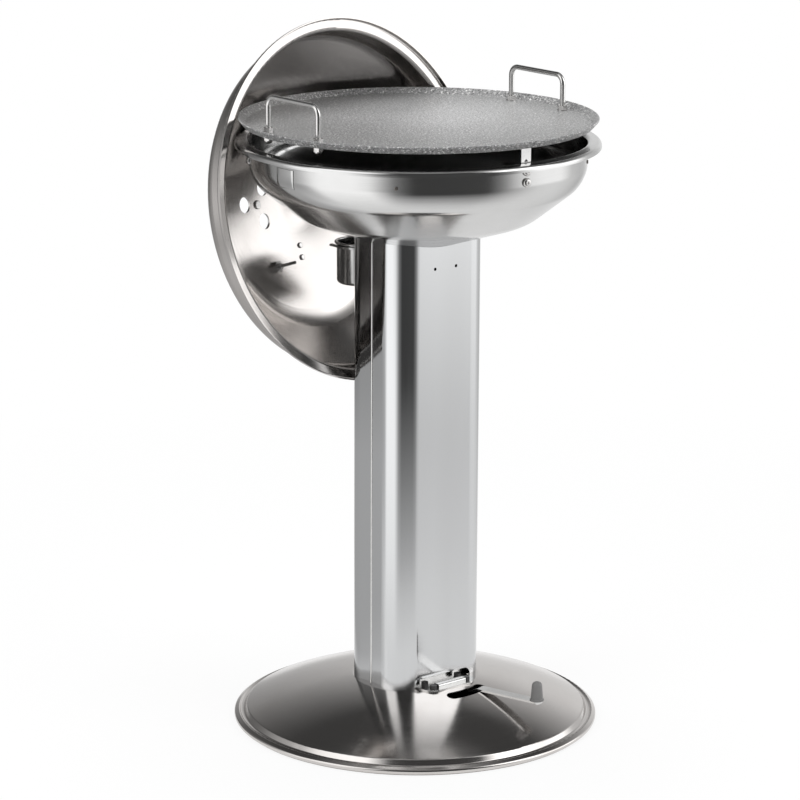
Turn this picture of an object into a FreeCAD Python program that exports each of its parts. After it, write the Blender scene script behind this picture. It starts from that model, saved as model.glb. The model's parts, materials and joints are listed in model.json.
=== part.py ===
import FreeCAD, Part
import math
import os

# Stainless pedestal barbecue: domed foot, chimney column, fire bowl, griddle plate and a lid
# hung on the back of the bowl. Millimetres, Z up, front towards -Y, origin under the foot's centre.

# Fits shared by many pieces
seat_gap = 0.3
contact_gap = 0.1
running_gap = 0.05
hole_gap = 0.3
corner_gap = 1.0
screw_tail = 1.0
head_softness = 0.6

# Domed foot
base_radius = 284.0
base_sheet = 1.5
base_ledge = 22.0
dome_radius = 650.0
dome_edge_radius = 264.0
dome_straight = 4.0
seat_radius = 98.5
seat_height = 67.0
rim_groove_width = 5.0
rim_groove_depth = 8.5
rim_bead_height = 2.5
rim_bead_round = 2.0
rim_groove_round = 3.0
rim_edge_round = 4.0
rim_height = 8.0
pan_sheet = 1.5
pan_setback = 4.0

# Foot plate, its rib and bolts, and the ring under the seat
foot_plate_sheet = 3.0
foot_flange_height = 18.0
foot_flange_start = -20.0
tongue_half_width = 50.0
tongue_reach = 30.5
tongue_corner = 22.0
foot_bolt_x = 33.0
front_bolt_reach = 18.0
middle_bolt_setback = 3.5
rear_bolt_setback = 14.5
foot_bolt_radius = 3.0
foot_bolt_flats = 10.0
foot_bolt_head = 5.0
foot_rib_width = 12.0
foot_rib_height = 6.0
foot_rib_round = 3.0
ash_guard_setback = 13.5
ash_guard_overlap = 12.0
ash_guard_height = 20.0
ring_side_gap = 2.5
ring_sheet = 5.0

# Draught shutter, lever and pivot
port_count = 6
port_angle = 22.0
port_inner_radius = 20.0
port_outer_radius = 46.0
shutter_radius = 52.0
shutter_sheet = 2.0
hub_radius = 14.0
lever_rest_angle = 16.0
lever_swing = 23.0
lever_width = 18.0
lever_sheet = 3.0
lever_bend_start = 110.0
lever_bend_end = 122.0
lever_lift = 5.4
lever_bend_round = 6.0
knob_place_radius = 226.0
slot_mid_radius = 118.0
slot_side_gap = 0.8
slot_end_play = 3.0
knob_flange_radius = 11.0
knob_flange_height = 2.5
knob_radius = 9.6
knob_top_radius = 7.4
knob_height = 30.5
knob_round = 6.8
knob_foot_round = 0.8
knob_screw_radius = 2.5
knob_screw_head = 5.0
knob_screw_depth = 12.0
pivot_radius = 4.0
pivot_flats = 13.0
pivot_head = 5.0
washer_sheet = 1.6
washer_radius = 9.0
nut_height = 6.5

# Column
column_width = 181.0
column_depth = 133.0
column_corner = 40.0
column_sheet = 1.5
column_length = 692.0
seam_gap = 0.4
strip_width = 24.0
strip_sheet = 1.5
strip_end_gap = 35.0
arch_half_width = 56.0
arch_height = 15.0
arch_corner = 12.0
accessory_hole_radius = 2.5
accessory_hole_spacing = 41.0
accessory_hole_drop = 31.5
head_sheet = 3.0
head_flange_height = 25.0

# Fire bowl
bowl_sheet = 1.5
bowl_hole_radius = 40.0
bowl_seat_radius = 62.0
bowl_seat_round = 28.0
bowl_bolt_circle = 51.0
bowl_bolt_radius = 3.0
bowl_bolt_flats = 10.0
bowl_bolt_head = 4.0
bowl_nut_height = 5.0
bowl_floor_angle = 17.6
bowl_knuckle_radius = 177.0
bowl_knuckle_round = 62.0
bowl_side_angle = 38.0
bowl_wall_radius = 256.0
bowl_corner_round = 50.0
bowl_wall_height = 58.1
bowl_rim_radius = 277.0
bowl_rim_fall = 2.0
bowl_rim_lip = 9.0
bowl_rim_round = 5.0
badge_width = 38.0
badge_height = 28.5
badge_drop = 2.6
badge_relief = 1.2
badge_angle = -89.3
drain_hole_radius = 4.0

# Griddle brackets and grid studs on the bowl wall
bracket_angles = (-1.7, -121.7, 118.3)
bracket_width = 18.0
bracket_sheet = 2.0
bracket_foot = 16.0
bracket_window_width = 8.0
bracket_window_height = 4.0
bracket_window_rise = 0.5
wall_screw_drop = 28.7
wall_screw_pitch = 16.6
wall_screw_radius = 3.0
wall_screw_head_radius = 7.0
wall_screw_head = 4.5
wall_nut_flats = 10.0
wall_nut_height = 5.0
bracket_tail = 6.0
stud_angles = (-46.8, 43.2, -136.8, 133.2)
stud_pin_radius = 4.0
stud_pin_length = 14.0
stud_shank_radius = 2.5
stud_head_radius = 3.0
stud_head = 1.5

# Charcoal grate
grate_overhang = 16.0
grate_band_width = 8.0
grate_band_height = 8.0
grate_bar_radius = 3.0
grate_pitch = 26.0

# Griddle plate and its wire handles
griddle_gap = 21.7
griddle_radius = 274.0
griddle_foot_radius = 264.0
griddle_sheet = 3.0
griddle_rim_height = 11.5
griddle_rim_sheet = 3.5
griddle_foot_round = 2.0
griddle_edge_round = 1.0
griddle_floor_round = 4.0
griddle_notch_width = 6.0
griddle_notch_depth = 7.0
handle_radius = 238.5
handle_span = 119.0
handle_height = 58.0
handle_bend = 14.0
handle_wire_radius = 4.0
handle_nut_flats = 13.0
handle_washer_radius = 8.0
cap_nut_height = 12.0
cap_nut_wall = 3.0
cap_nut_tip_radius = 1.0

# Lid
lid_sheet = 1.5
lid_radius = 280.5
lid_wall_radius = 262.0
lid_wall_depth = 50.0
lid_knuckle_radius = 180.0
lid_knuckle_depth = 117.5
lid_crown_radius = 31.0
lid_crown_depth = 139.5
lid_crown_round = 160.0
lid_knuckle_round = 60.0
lid_corner_round = 26.0
lid_flange_depth = 8.0
lid_edge_round = 4.0
lid_tilt = 12.4
lid_yaw = 6.5
lid_turn = 6.0
lid_hang_drop = 112.5

# Lid hook
hook_width = 25.0
hook_sheet = 2.5
hook_leg_top = 161.5
hook_reach_in = 11.0
hook_tip_drop = 9.0
hook_rivet_places = (149.3, 157.0)
rivet_radius = 2.5
rivet_head_radius = 3.5
rivet_head = 2.0

# Lid handle
lid_handle_span = 145.0
lid_handle_height = 45.0
lid_handle_bend = 18.0
lid_handle_rod_radius = 5.0
lid_foot_width = 18.0
lid_foot_length = 38.0
lid_foot_sheet = 6.0
lid_screw_offset = 9.5
lid_screw_radius = 2.5
lid_screw_head_radius = 4.5
lid_screw_head = 2.5
lid_screw_bite = 5.0
grip_radius = 13.0
grip_length = 84.0
grip_round = 4.0

# Thermometer in the lid
gauge_place = (60.5, -95.5)
gauge_radius = 28.0
gauge_depth = 14.0
gauge_floor = 3.0
gauge_wall = 2.0
bezel_lip = 1.5
gauge_round = 1.5
dial_sheet = 1.0
glass_sheet = 1.5
needle_length = 19.0
needle_width = 2.0
needle_sheet = 0.6
needle_hub_radius = 2.5
needle_hub_height = 2.0
spindle_radius = 0.8
stem_thread_radius = 5.0
stem_thread_length = 12.0
stem_radius = 2.5
stem_length = 42.0
stem_nut_flats = 17.0
stem_nut_height = 6.0

# Rotary vent in the lid
vent_place = (88.0, 3.5)
vent_hole_count = 3
vent_hole_radius = 12.5
vent_hole_circle = 30.0
vent_disc_radius = 46.0
vent_disc_sheet = 1.5
vent_rest_angle = 0.0
vent_tab_width = 14.0
vent_tab_reach = 10.0
vent_tab_height = 9.0
vent_rivet_radius = 3.0
vent_rivet_head_radius = 7.0
vent_rivet_head = 2.5

# Grease cup and its fork on the back of the column
cup_radius = 33.0
cup_sheet = 1.2
cup_height = 67.0
cup_floor_round = 6.0
cup_lip_width = 3.5
cup_lip_height = 4.0
cup_lip_round = 1.8
cup_top_drop = 24.0
cup_offset = 78.5
fork_sheet = 3.0
fork_side_gap = 0.4
fork_prong = 5.6
fork_reach = 22.0
fork_arm_width = 22.0
fork_plate_width = 46.0
fork_plate_height = 26.0
fork_plate_sheet = 2.0
fork_screw_spacing = 30.0
fork_screw_radius = 2.5
fork_screw_head_radius = 4.5
fork_screw_head = 2.5
fork_nut_flats = 8.0
fork_nut_height = 4.0

# Heights and places that follow from the sizes above
Vec = FreeCAD.Vector
UP = Vec(0, 0, 1)
CENTRE = Vec(0, 0, 0)
front_bearing = -90.0


def rise(run, degrees):
    return run * math.tan(math.radians(degrees))


def dome_drop(radius):
    return dome_radius - math.sqrt(dome_radius ** 2 - radius ** 2)


def dome_slope(radius):
    return radius / math.sqrt(dome_radius ** 2 - radius ** 2)


dome_start_radius = seat_radius + dome_straight
dome_end_radius = dome_edge_radius - dome_straight
dome_start_height = seat_height - dome_straight * dome_slope(dome_start_radius)
dome_apex = dome_start_height + dome_drop(dome_start_radius)
seat_underside = seat_height - base_sheet
plate_top = seat_height + foot_plate_sheet
shutter_top = seat_underside - contact_gap
shutter_bottom = shutter_top - shutter_sheet
front_bolt_y = -column_depth / 2 - front_bolt_reach
ring_inner_radius = shutter_radius + ring_side_gap
ring_outer_radius = seat_radius - ring_side_gap
lever_top = seat_underside - ring_sheet - seat_gap
lever_bottom = lever_top - lever_sheet
lever_outer_top = lever_top + lever_lift
slot_width = lever_width + 2 * slot_side_gap
inner_width = column_width - 2 * column_sheet
inner_depth = column_depth - 2 * column_sheet
inner_corner = column_corner - column_sheet
bowl_floor = seat_height + column_length
knuckle_height = bowl_floor + rise(bowl_knuckle_radius - bowl_seat_radius, bowl_floor_angle)
corner_height = knuckle_height + rise(bowl_wall_radius - bowl_knuckle_radius, bowl_side_angle)
rim_under = corner_height + bowl_wall_height
rim_top = rim_under + bowl_sheet
wall_inside = bowl_wall_radius - bowl_sheet
grate_radius = bowl_knuckle_radius + grate_overhang
wall_screw_height = rim_under - wall_screw_drop
bracket_screw_heights = (wall_screw_height, wall_screw_height + wall_screw_pitch)
griddle_bottom = rim_top + griddle_gap
griddle_floor = griddle_bottom + griddle_sheet
handle_leg_end = griddle_bottom - washer_sheet - cap_nut_height + cap_nut_wall
crown_slope = (lid_crown_depth - lid_knuckle_depth) / (lid_knuckle_radius - lid_crown_radius)
crown_angle = math.atan(crown_slope)
tilt_sine = math.sin(math.radians(lid_tilt))
tilt_cosine = math.cos(math.radians(lid_tilt))
lid_flat_reach = (column_width / 2 - column_corner) * math.sin(math.radians(lid_yaw))
lid_centre_y = column_depth / 2 + seat_gap + lid_radius * tilt_sine + lid_flat_reach
lid_centre_z = rim_top - lid_hang_drop
vent_half_pitch = 180 / vent_hole_count
cup_centre_y = column_depth / 2 + cup_offset
cup_top = bowl_floor - cup_top_drop
fork_top = cup_top - cup_lip_height - seat_gap
fork_bottom = fork_top - fork_sheet


# Shared shapes

def unit(vector):
    length = math.hypot(vector[0], vector[1])
    return (vector[0] / length, vector[1] / length)


def toward(start, end):
    return unit((end[0] - start[0], end[1] - start[1]))


def flat_line(start, end):
    return Part.LineSegment(Vec(start[0], 0, start[1]), Vec(end[0], 0, end[1])).toShape()


def rounded_edges(points, radii):
    """Lines and arcs in the XZ plane along the points, each inner corner rounded by its radius."""
    edges = []
    start = points[0]
    for before, corner, after, radius in zip(points, points[1:], points[2:], radii):
        back = toward(corner, before)
        ahead = toward(corner, after)
        half = math.acos(back[0] * ahead[0] + back[1] * ahead[1]) / 2
        if radius <= 0 or half > math.pi / 2 - 1e-6:
            arc_start = corner
            arc_end = corner
        else:
            run = radius / math.tan(half)
            bisector = unit((back[0] + ahead[0], back[1] + ahead[1]))
            depth = radius / math.sin(half) - radius
            arc_start = (corner[0] + back[0] * run, corner[1] + back[1] * run)
            arc_end = (corner[0] + ahead[0] * run, corner[1] + ahead[1] * run)
            middle = (corner[0] + bisector[0] * depth, corner[1] + bisector[1] * depth)
        if math.dist(start, arc_start) > 1e-6:
            edges.append(flat_line(start, arc_start))
        if arc_start != arc_end:
            ends = [Vec(spot[0], 0, spot[1]) for spot in (arc_start, middle, arc_end)]
            edges.append(Part.Arc(*ends).toShape())
        start = arc_end
    edges.append(flat_line(start, points[-1]))
    return edges


def beside(points, radii, shift):
    """The same path moved to its left by shift, with the radii that keep it parallel."""
    normals = []
    for start, end in zip(points, points[1:]):
        along = toward(start, end)
        normals.append((-along[1], along[0]))
    moved = [(points[0][0] + normals[0][0] * shift, points[0][1] + normals[0][1] * shift)]
    moved_radii = []
    for corner, first, second, radius in zip(points[1:], normals, normals[1:], radii):
        share = shift / (1 + first[0] * second[0] + first[1] * second[1])
        across = (first[0] + second[0], first[1] + second[1])
        moved.append((corner[0] + across[0] * share, corner[1] + across[1] * share))
        left_turn = first[0] * second[1] - first[1] * second[0] > 0
        moved_radii.append(max(radius - shift if left_turn else radius + shift, 0))
    last = normals[-1]
    moved.append((points[-1][0] + last[0] * shift, points[-1][1] + last[1] * shift))
    return moved, moved_radii


def closed_face(edges):
    return Part.Face(Part.Wire(Part.__sortEdges__(edges)))


def sheet_face(points, radii, shift):
    """A bent sheet's section: the path, the path beside it, and the two cut edges."""
    other, other_radii = beside(points, radii, shift)
    edges = rounded_edges(points, radii)
    edges.append(flat_line(points[-1], other[-1]))
    edges += rounded_edges(other[::-1], other_radii[::-1])
    edges.append(flat_line(other[0], points[0]))
    return closed_face(edges)


def spun(face):
    return face.revolve(CENTRE, UP, 360)


def spun_outline(points, radii):
    """A solid turned from an outline whose first and last points lie on the axis."""
    edges = rounded_edges(points, radii)
    edges.append(flat_line(points[-1], points[0]))
    return spun(closed_face(edges))


def disc(radius, bottom, top, x=0, y=0):
    return Part.makeCylinder(radius, top - bottom, Vec(x, y, bottom))


def ring(outer, inner, bottom, top, x=0, y=0):
    return disc(outer, bottom, top, x, y).cut(disc(inner, bottom, top, x, y))


def box(low, high):
    size = [high[i] - low[i] for i in range(3)]
    return Part.makeBox(*size, Vec(*low))


def prism(flats, bottom, top, x=0, y=0):
    """A hexagonal bar, as a nut or bolt head."""
    corner = flats / math.sqrt(3)
    spots = [math.radians(60 * i) for i in range(7)]
    points = [Vec(x + corner * math.cos(turn), y + corner * math.sin(turn), bottom) for turn in spots]
    return Part.Face(Part.makePolygon(points)).extrude(Vec(0, 0, top - bottom))


def nut(flats, hole, bottom, top, x=0, y=0):
    return prism(flats, bottom, top, x, y).cut(disc(hole, bottom, top, x, y))


def pan_head(radius, bottom, height, x=0, y=0):
    """A low round screw head with a softened upper edge."""
    outline = [(0, 0), (radius, 0), (radius, height), (0, height)]
    head = spun_outline(outline, [0, min(height, radius) * head_softness])
    head.translate(Vec(x, y, bottom))
    return head


def rounded_block(width, depth, corner, bottom, top, y=0):
    """An upright bar with a rounded rectangular plan."""
    w = width / 2
    d = depth / 2
    outline = [(0, -d), (w, -d), (w, d), (-w, d), (-w, -d), (0, -d)]
    face = closed_face(rounded_edges(outline, [corner] * 4))
    face.rotate(CENTRE, Vec(1, 0, 0), -90)
    face.translate(Vec(0, y, bottom))
    return face.extrude(Vec(0, 0, top - bottom))


def turned(shape, degrees):
    copy = shape.copy()
    copy.rotate(CENTRE, UP, degrees)
    return copy


def from_front(shape, degrees):
    """Turns a piece built at the front to its bearing, positive towards +X."""
    return turned(shape, degrees)


def joined(shapes):
    whole = shapes[0].multiFuse(shapes[1:]) if len(shapes) > 1 else shapes[0]
    return whole.removeSplitter()


def sector(inner, outer, bottom, top, start, sweep):
    outline = [(inner, bottom), (outer, bottom), (outer, top), (inner, top), (inner, bottom)]
    face = closed_face(rounded_edges(outline, [0, 0, 0]))
    return turned(face.revolve(CENTRE, UP, sweep), start)


def bent_rod(points, bend, radius):
    """A round rod along the points in the XZ plane, with rounded bends."""
    path = Part.Wire(Part.__sortEdges__(rounded_edges(points, [bend] * (len(points) - 2))))
    start = Vec(points[0][0], 0, points[0][1])
    ahead = toward(points[0], points[1])
    circle = Part.Circle(start, Vec(ahead[0], 0, ahead[1]), radius).toShape()
    return path.makePipeShell([Part.Wire([circle])], True, False)


# Domed foot

def lever_slot():
    """The curved slot in the dome, rounded at both ends, with play beyond the lever's travel."""
    inner = slot_mid_radius - slot_width / 2
    outer = slot_mid_radius + slot_width / 2
    sweep = lever_swing + 2 * slot_end_play
    first = lever_rest_angle - lever_swing - slot_end_play
    cut = [sector(inner, outer, 0, dome_apex, first + front_bearing, sweep)]
    for angle in (first, first + sweep):
        cut.append(from_front(disc(slot_width / 2, 0, dome_apex, 0, -slot_mid_radius), angle))
    return joined(cut)


def draught_ports(bottom, top):
    step = 360 / port_count
    return [sector(port_inner_radius, port_outer_radius, bottom, top, i * step - port_angle / 2, port_angle)
            for i in range(port_count)]


def foot_bolt_spots():
    rows = (front_bolt_y, middle_bolt_setback - column_depth / 2, column_depth / 2 - rear_bolt_setback)
    return [(side * foot_bolt_x, y) for y in rows for side in (-1, 1)]


def base_dome():
    start_slope = dome_slope(dome_start_radius)
    end_slope = dome_slope(dome_end_radius)
    end_height = dome_apex - dome_drop(dome_end_radius)
    run = dome_end_radius - dome_start_radius
    fall = dome_start_height - end_height
    meet = (fall - run * end_slope) / (start_slope - end_slope)
    tangents_meet = (dome_start_radius + meet, dome_start_height - meet * start_slope)
    edge_height = end_height - dome_straight * end_slope
    groove = edge_height - rim_groove_depth
    groove_start = dome_edge_radius + rim_groove_width
    groove_end = groove_start + rim_groove_width
    path = [(pivot_radius + hole_gap, seat_height), (seat_radius, seat_height), tangents_meet,
            (dome_edge_radius, edge_height), (groove_start, groove), (groove_end, groove),
            (groove_end + rim_bead_height, groove + rim_bead_height), (base_radius, rim_height),
            (base_radius, pan_sheet), (base_radius - base_ledge, pan_sheet)]
    radii = [0, dome_radius, rim_edge_round, rim_groove_round, rim_groove_round, rim_bead_round,
             rim_edge_round, rim_groove_round]
    shell = spun(sheet_face(path, radii, -base_sheet))
    cuts = draught_ports(0, dome_apex) + [lever_slot()]
    cuts += [disc(foot_bolt_radius + hole_gap, 0, dome_apex, x, y) for x, y in foot_bolt_spots()]
    return shell.cut(cuts)


def base_pan():
    return disc(base_radius - pan_setback, 0, pan_sheet)


def seat_ring():
    body = ring(ring_outer_radius, ring_inner_radius, seat_underside - ring_sheet, seat_underside)
    holes = [disc(foot_bolt_radius + running_gap, 0, seat_height, x, y) for x, y in foot_bolt_spots()]
    return body.cut(holes)


def foot_plate():
    """Plate in the column's foot with a flange round its back and a tongue out of the arch."""
    corner = inner_corner + corner_gap
    front = -column_depth / 2
    plate = rounded_block(inner_width, inner_depth, corner, seat_height, plate_top)
    tongue_depth = tongue_reach + column_depth / 2
    tongue = rounded_block(2 * tongue_half_width, tongue_depth, tongue_corner, seat_height, plate_top,
                           front - tongue_reach + tongue_depth / 2)
    top = plate_top + foot_flange_height
    flange = rounded_block(inner_width, inner_depth, corner, plate_top, top)
    hollow = 2 * foot_plate_sheet
    flange = flange.cut(rounded_block(inner_width - hollow, inner_depth - hollow, corner - foot_plate_sheet,
                                      plate_top, top))
    flange = flange.cut(box((-inner_width, -inner_depth, plate_top), (inner_width, foot_flange_start, top)))
    body = joined([plate, tongue, flange])
    cuts = [disc(port_outer_radius + foot_plate_sheet, 0, top)]
    cuts += [disc(foot_bolt_radius + hole_gap, 0, top, x, y) for x, y in foot_bolt_spots()]
    return body.cut(cuts)


def ash_guard():
    """Upright strip welded to the foot plate behind the arch: it keeps the ash in the column."""
    half = arch_half_width + ash_guard_overlap
    face = ash_guard_setback - column_depth / 2
    return box((-half, face, plate_top), (half, face + foot_plate_sheet, plate_top + ash_guard_height))


def foot_rib():
    half = foot_bolt_x - foot_bolt_flats / math.sqrt(3) - contact_gap
    w = foot_rib_width / 2
    outline = [(0, 0), (w, 0), (w, foot_rib_height), (-w, foot_rib_height), (-w, 0), (0, 0)]
    face = closed_face(rounded_edges(outline, [0, foot_rib_round, foot_rib_round, 0]))
    bar = face.extrude(Vec(0, 2 * half, 0))
    bar.translate(Vec(0, -half, plate_top))
    bar = turned(bar, 90)
    bar.translate(Vec(0, front_bolt_y, 0))
    return bar


def foot_bolts():
    bolts = []
    for x, y in foot_bolt_spots():
        head = prism(foot_bolt_flats, plate_top, plate_top + foot_bolt_head, x, y)
        shank = disc(foot_bolt_radius, seat_underside - ring_sheet, plate_top, x, y)
        bolts.append(joined([head, shank]))
    return Part.makeCompound(bolts)


# Draught shutter and foot lever

def shutter_disc():
    body = disc(shutter_radius, shutter_bottom, shutter_top)
    cuts = draught_ports(shutter_bottom, shutter_top)
    cuts.append(disc(pivot_radius + running_gap, shutter_bottom, shutter_top))
    return body.cut(cuts)


def lever_hub():
    return ring(hub_radius, pivot_radius + running_gap, lever_top, shutter_bottom)


def lever_bar():
    half = lever_width / 2
    path = [(-half, lever_top), (lever_bend_start, lever_top), (lever_bend_end, lever_outer_top),
            (knob_place_radius + half, lever_outer_top)]
    strip = sheet_face(path, [lever_bend_round, lever_bend_round], -lever_sheet)
    strip = strip.extrude(Vec(0, lever_width, 0))
    strip.translate(Vec(0, -half, 0))
    low = lever_bottom
    high = lever_outer_top
    plan = joined([disc(half, low, high), disc(half, low, high, knob_place_radius),
                   box((0, -half, low), (knob_place_radius, half, high))])
    bar = strip.common(plan)
    bar = bar.cut(disc(pivot_radius + running_gap, low, high))
    bar = bar.cut(disc(knob_screw_radius + hole_gap, low, high, knob_place_radius))
    return turned(bar, lever_rest_angle - 90)


def lever_knob():
    outline = [(0, 0), (knob_flange_radius, 0), (knob_flange_radius, knob_flange_height),
               (knob_radius, knob_flange_height), (knob_top_radius, knob_height), (0, knob_height)]
    knob = spun_outline(outline, [knob_foot_round, knob_foot_round, knob_foot_round, knob_round])
    knob = knob.cut(disc(knob_screw_radius + running_gap, 0, knob_screw_depth + screw_tail))
    knob.translate(Vec(knob_place_radius, 0, lever_outer_top))
    return turned(knob, lever_rest_angle - 90)


def knob_screw():
    head_top = lever_outer_top - lever_sheet
    head = disc(knob_screw_head, head_top - knob_screw_radius, head_top)
    shank = disc(knob_screw_radius, head_top, lever_outer_top + knob_screw_depth)
    screw = joined([head, shank])
    screw.translate(Vec(knob_place_radius, 0, 0))
    return turned(screw, lever_rest_angle - 90)


def pivot_bolt():
    head = prism(pivot_flats, seat_height, seat_height + pivot_head)
    low = lever_bottom - seat_gap - washer_sheet - nut_height
    return joined([head, disc(pivot_radius, low, seat_height)])


def pivot_nut():
    top = lever_bottom - seat_gap
    hole = pivot_radius + running_gap
    washer = ring(washer_radius, hole, top - washer_sheet, top)
    below = top - washer_sheet
    return joined([washer, nut(pivot_flats, hole, below - nut_height, below)])


# Column

def bowl_underside(clearance):
    """The space that the bowl takes above the column, with a little room below it."""
    low = bowl_floor - clearance
    knuckle = knuckle_height - clearance
    outline = [(0, low), (bowl_seat_radius, low), (bowl_knuckle_radius, knuckle),
               (bowl_knuckle_radius, rim_top), (0, rim_top)]
    return spun_outline(outline, [0, 0, 0])


def arch_opening():
    low = seat_height
    w = arch_half_width
    high = low + arch_height
    outline = [(0, low), (w, low), (w, high), (-w, high), (-w, low), (0, low)]
    face = closed_face(rounded_edges(outline, [0, arch_corner, arch_corner, 0]))
    cut = face.extrude(Vec(0, column_depth, 0))
    cut.translate(Vec(0, -column_depth, 0))
    return cut


def column_tube():
    top = knuckle_height
    tube = rounded_block(column_width, column_depth, column_corner, seat_height, top)
    tube = tube.cut(rounded_block(inner_width, inner_depth, inner_corner, seat_height, top))
    return tube.cut(bowl_underside(contact_gap))


def side_of_seam(sign):
    """Half space in front of the seam (sign -1) or behind it (sign +1)."""
    near = seam_gap / 2
    far = column_depth
    low = (-column_width, near if sign > 0 else -far, 0)
    high = (column_width, far if sign > 0 else -near, rim_top)
    return box(low, high)


def accessory_holes():
    height = bowl_floor - accessory_hole_drop
    holes = []
    for side in (-1, 1):
        hole = disc(accessory_hole_radius, 0, column_depth / 2)
        hole.rotate(CENTRE, Vec(1, 0, 0), 90)
        hole.translate(Vec(side * accessory_hole_spacing / 2, 0, height))
        holes.append(hole)
    return holes


def column_front_shell():
    shell = column_tube().common(side_of_seam(-1))
    return shell.cut([arch_opening()] + accessory_holes())


def column_rear_shell():
    shell = column_tube().common(side_of_seam(1))
    return shell.cut([fork_bore(x, fork_screw_radius + hole_gap) for x in fork_screw_spots()])


def seam_strip(side):
    """Flat strip welded inside the column behind a seam."""
    inside = inner_width / 2
    low = (inside - strip_sheet, -strip_width / 2, plate_top + strip_end_gap)
    high = (inside, strip_width / 2, bowl_floor - strip_end_gap)
    strip = box(low, high)
    return strip if side > 0 else turned(strip, 180)


def bowl_bolt_spots():
    turns = [math.radians(45 + 90 * i) for i in range(4)]
    return [(bowl_bolt_circle * math.cos(turn), bowl_bolt_circle * math.sin(turn)) for turn in turns]


def column_head():
    corner = inner_corner + corner_gap
    low = bowl_floor - head_sheet - head_flange_height
    tray = rounded_block(inner_width, inner_depth, corner, low, bowl_floor)
    hollow = 2 * head_sheet
    tray = tray.cut(rounded_block(inner_width - hollow, inner_depth - hollow, corner - head_sheet,
                                  low, bowl_floor - head_sheet))
    cuts = [disc(bowl_hole_radius, low, bowl_floor)]
    cuts += [disc(bowl_bolt_radius + hole_gap, low, bowl_floor, x, y) for x, y in bowl_bolt_spots()]
    cuts += accessory_holes()
    return tray.cut(cuts)


# Fire bowl

def bowl_path():
    lip_end = rim_under - bowl_rim_lip
    edge = bowl_rim_radius - bowl_sheet
    points = [(bowl_hole_radius, bowl_floor), (bowl_seat_radius, bowl_floor),
              (bowl_knuckle_radius, knuckle_height), (bowl_wall_radius, corner_height),
              (bowl_wall_radius, rim_under), (edge, rim_under - bowl_rim_fall), (edge, lip_end)]
    radii = [bowl_seat_round, bowl_knuckle_round, bowl_corner_round, bowl_rim_round, bowl_rim_round]
    return points, radii


def wall_bore(radius, height, angle):
    """A hole or pin through the bowl wall at the front, turned to its bearing."""
    bore = disc(radius, 0, bowl_wall_radius)
    bore.rotate(CENTRE, Vec(1, 0, 0), 90)
    bore.translate(Vec(0, -bowl_wall_radius / 2, height))
    return from_front(bore, angle)


def badge():
    """Plain embossed panel on the bowl wall."""
    half = math.degrees(badge_width / 2 / bowl_wall_radius)
    low = wall_screw_height - badge_drop - badge_height / 2
    start = badge_angle - 90 - half
    outer = bowl_wall_radius + badge_relief
    return sector(wall_inside, outer, low, low + badge_height, start, 2 * half)


def bowl():
    points, radii = bowl_path()
    body = spun(sheet_face(points, radii, bowl_sheet))
    body = joined([body, badge()])
    cuts = [disc(bowl_bolt_radius + hole_gap, 0, rim_top, x, y) for x, y in bowl_bolt_spots()]
    cuts.append(disc(drain_hole_radius, 0, rim_top, 0, cup_centre_y))
    for height in bracket_screw_heights:
        cuts += [wall_bore(wall_screw_radius + hole_gap, height, angle) for angle in bracket_angles]
    cuts += [wall_bore(stud_shank_radius + hole_gap, wall_screw_height, angle) for angle in stud_angles]
    return body.cut(cuts)


def bowl_bolts():
    bolts = []
    top = bowl_floor + bowl_sheet
    end = bowl_floor - head_sheet - bowl_nut_height - screw_tail
    for x, y in bowl_bolt_spots():
        head = prism(bowl_bolt_flats, top, top + bowl_bolt_head, x, y)
        bolts.append(joined([head, disc(bowl_bolt_radius, end, top, x, y)]))
    return Part.makeCompound(bolts)


def bowl_nuts():
    top = bowl_floor - head_sheet
    hole = bowl_bolt_radius + running_gap
    nuts = [nut(bowl_bolt_flats, hole, top - bowl_nut_height, top, x, y) for x, y in bowl_bolt_spots()]
    return Part.makeCompound(nuts)


# Brackets and studs on the bowl wall

def bracket_face_y():
    """Outer face of a flat bracket strip whose two edges just clear the round wall."""
    return -math.sqrt((wall_inside - contact_gap) ** 2 - (bracket_width / 2) ** 2)


def support_bracket(angle):
    outer = bracket_face_y()
    w = bracket_width / 2
    low = wall_screw_height - bracket_tail
    top = griddle_bottom - seat_gap
    strip = box((-w, outer, low), (w, outer + bracket_sheet, top))
    foot = box((-w, outer, top - bracket_sheet), (w, outer + bracket_foot, top))
    body = joined([strip, foot])
    side = bracket_window_width / 2
    base = rim_top + bracket_window_rise
    corners = [(-side, base), (side, base), (0, base + bracket_window_height)]
    points = [Vec(x, outer - 1, z) for x, z in corners + corners[:1]]
    window = Part.Face(Part.makePolygon(points)).extrude(Vec(0, bracket_sheet + 2, 0))
    body = body.cut(window)
    body = body.cut([wall_bore(wall_screw_radius + hole_gap, height, 0) for height in bracket_screw_heights])
    return from_front(body, angle)


def bracket_screws():
    """Pan heads outside the wall, shanks through the wall, the bracket and the nut."""
    screws = []
    inner = -bracket_face_y() - bracket_sheet - wall_nut_height - screw_tail
    outer = bowl_wall_radius + contact_gap
    for angle in bracket_angles:
        for height in bracket_screw_heights:
            head = pan_head(wall_screw_head_radius, outer, wall_screw_head)
            screw = joined([head, disc(wall_screw_radius, inner, outer)])
            screw.rotate(CENTRE, Vec(1, 0, 0), 90)
            screw.translate(Vec(0, 0, height))
            screws.append(from_front(screw, angle))
    return Part.makeCompound(screws)


def bracket_nuts():
    nuts = []
    outer = -bracket_face_y() - bracket_sheet
    for angle in bracket_angles:
        for height in bracket_screw_heights:
            piece = nut(wall_nut_flats, wall_screw_radius + running_gap, outer - wall_nut_height, outer)
            piece.rotate(CENTRE, Vec(1, 0, 0), 90)
            piece.translate(Vec(0, 0, height))
            nuts.append(from_front(piece, angle))
    return Part.makeCompound(nuts)


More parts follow.
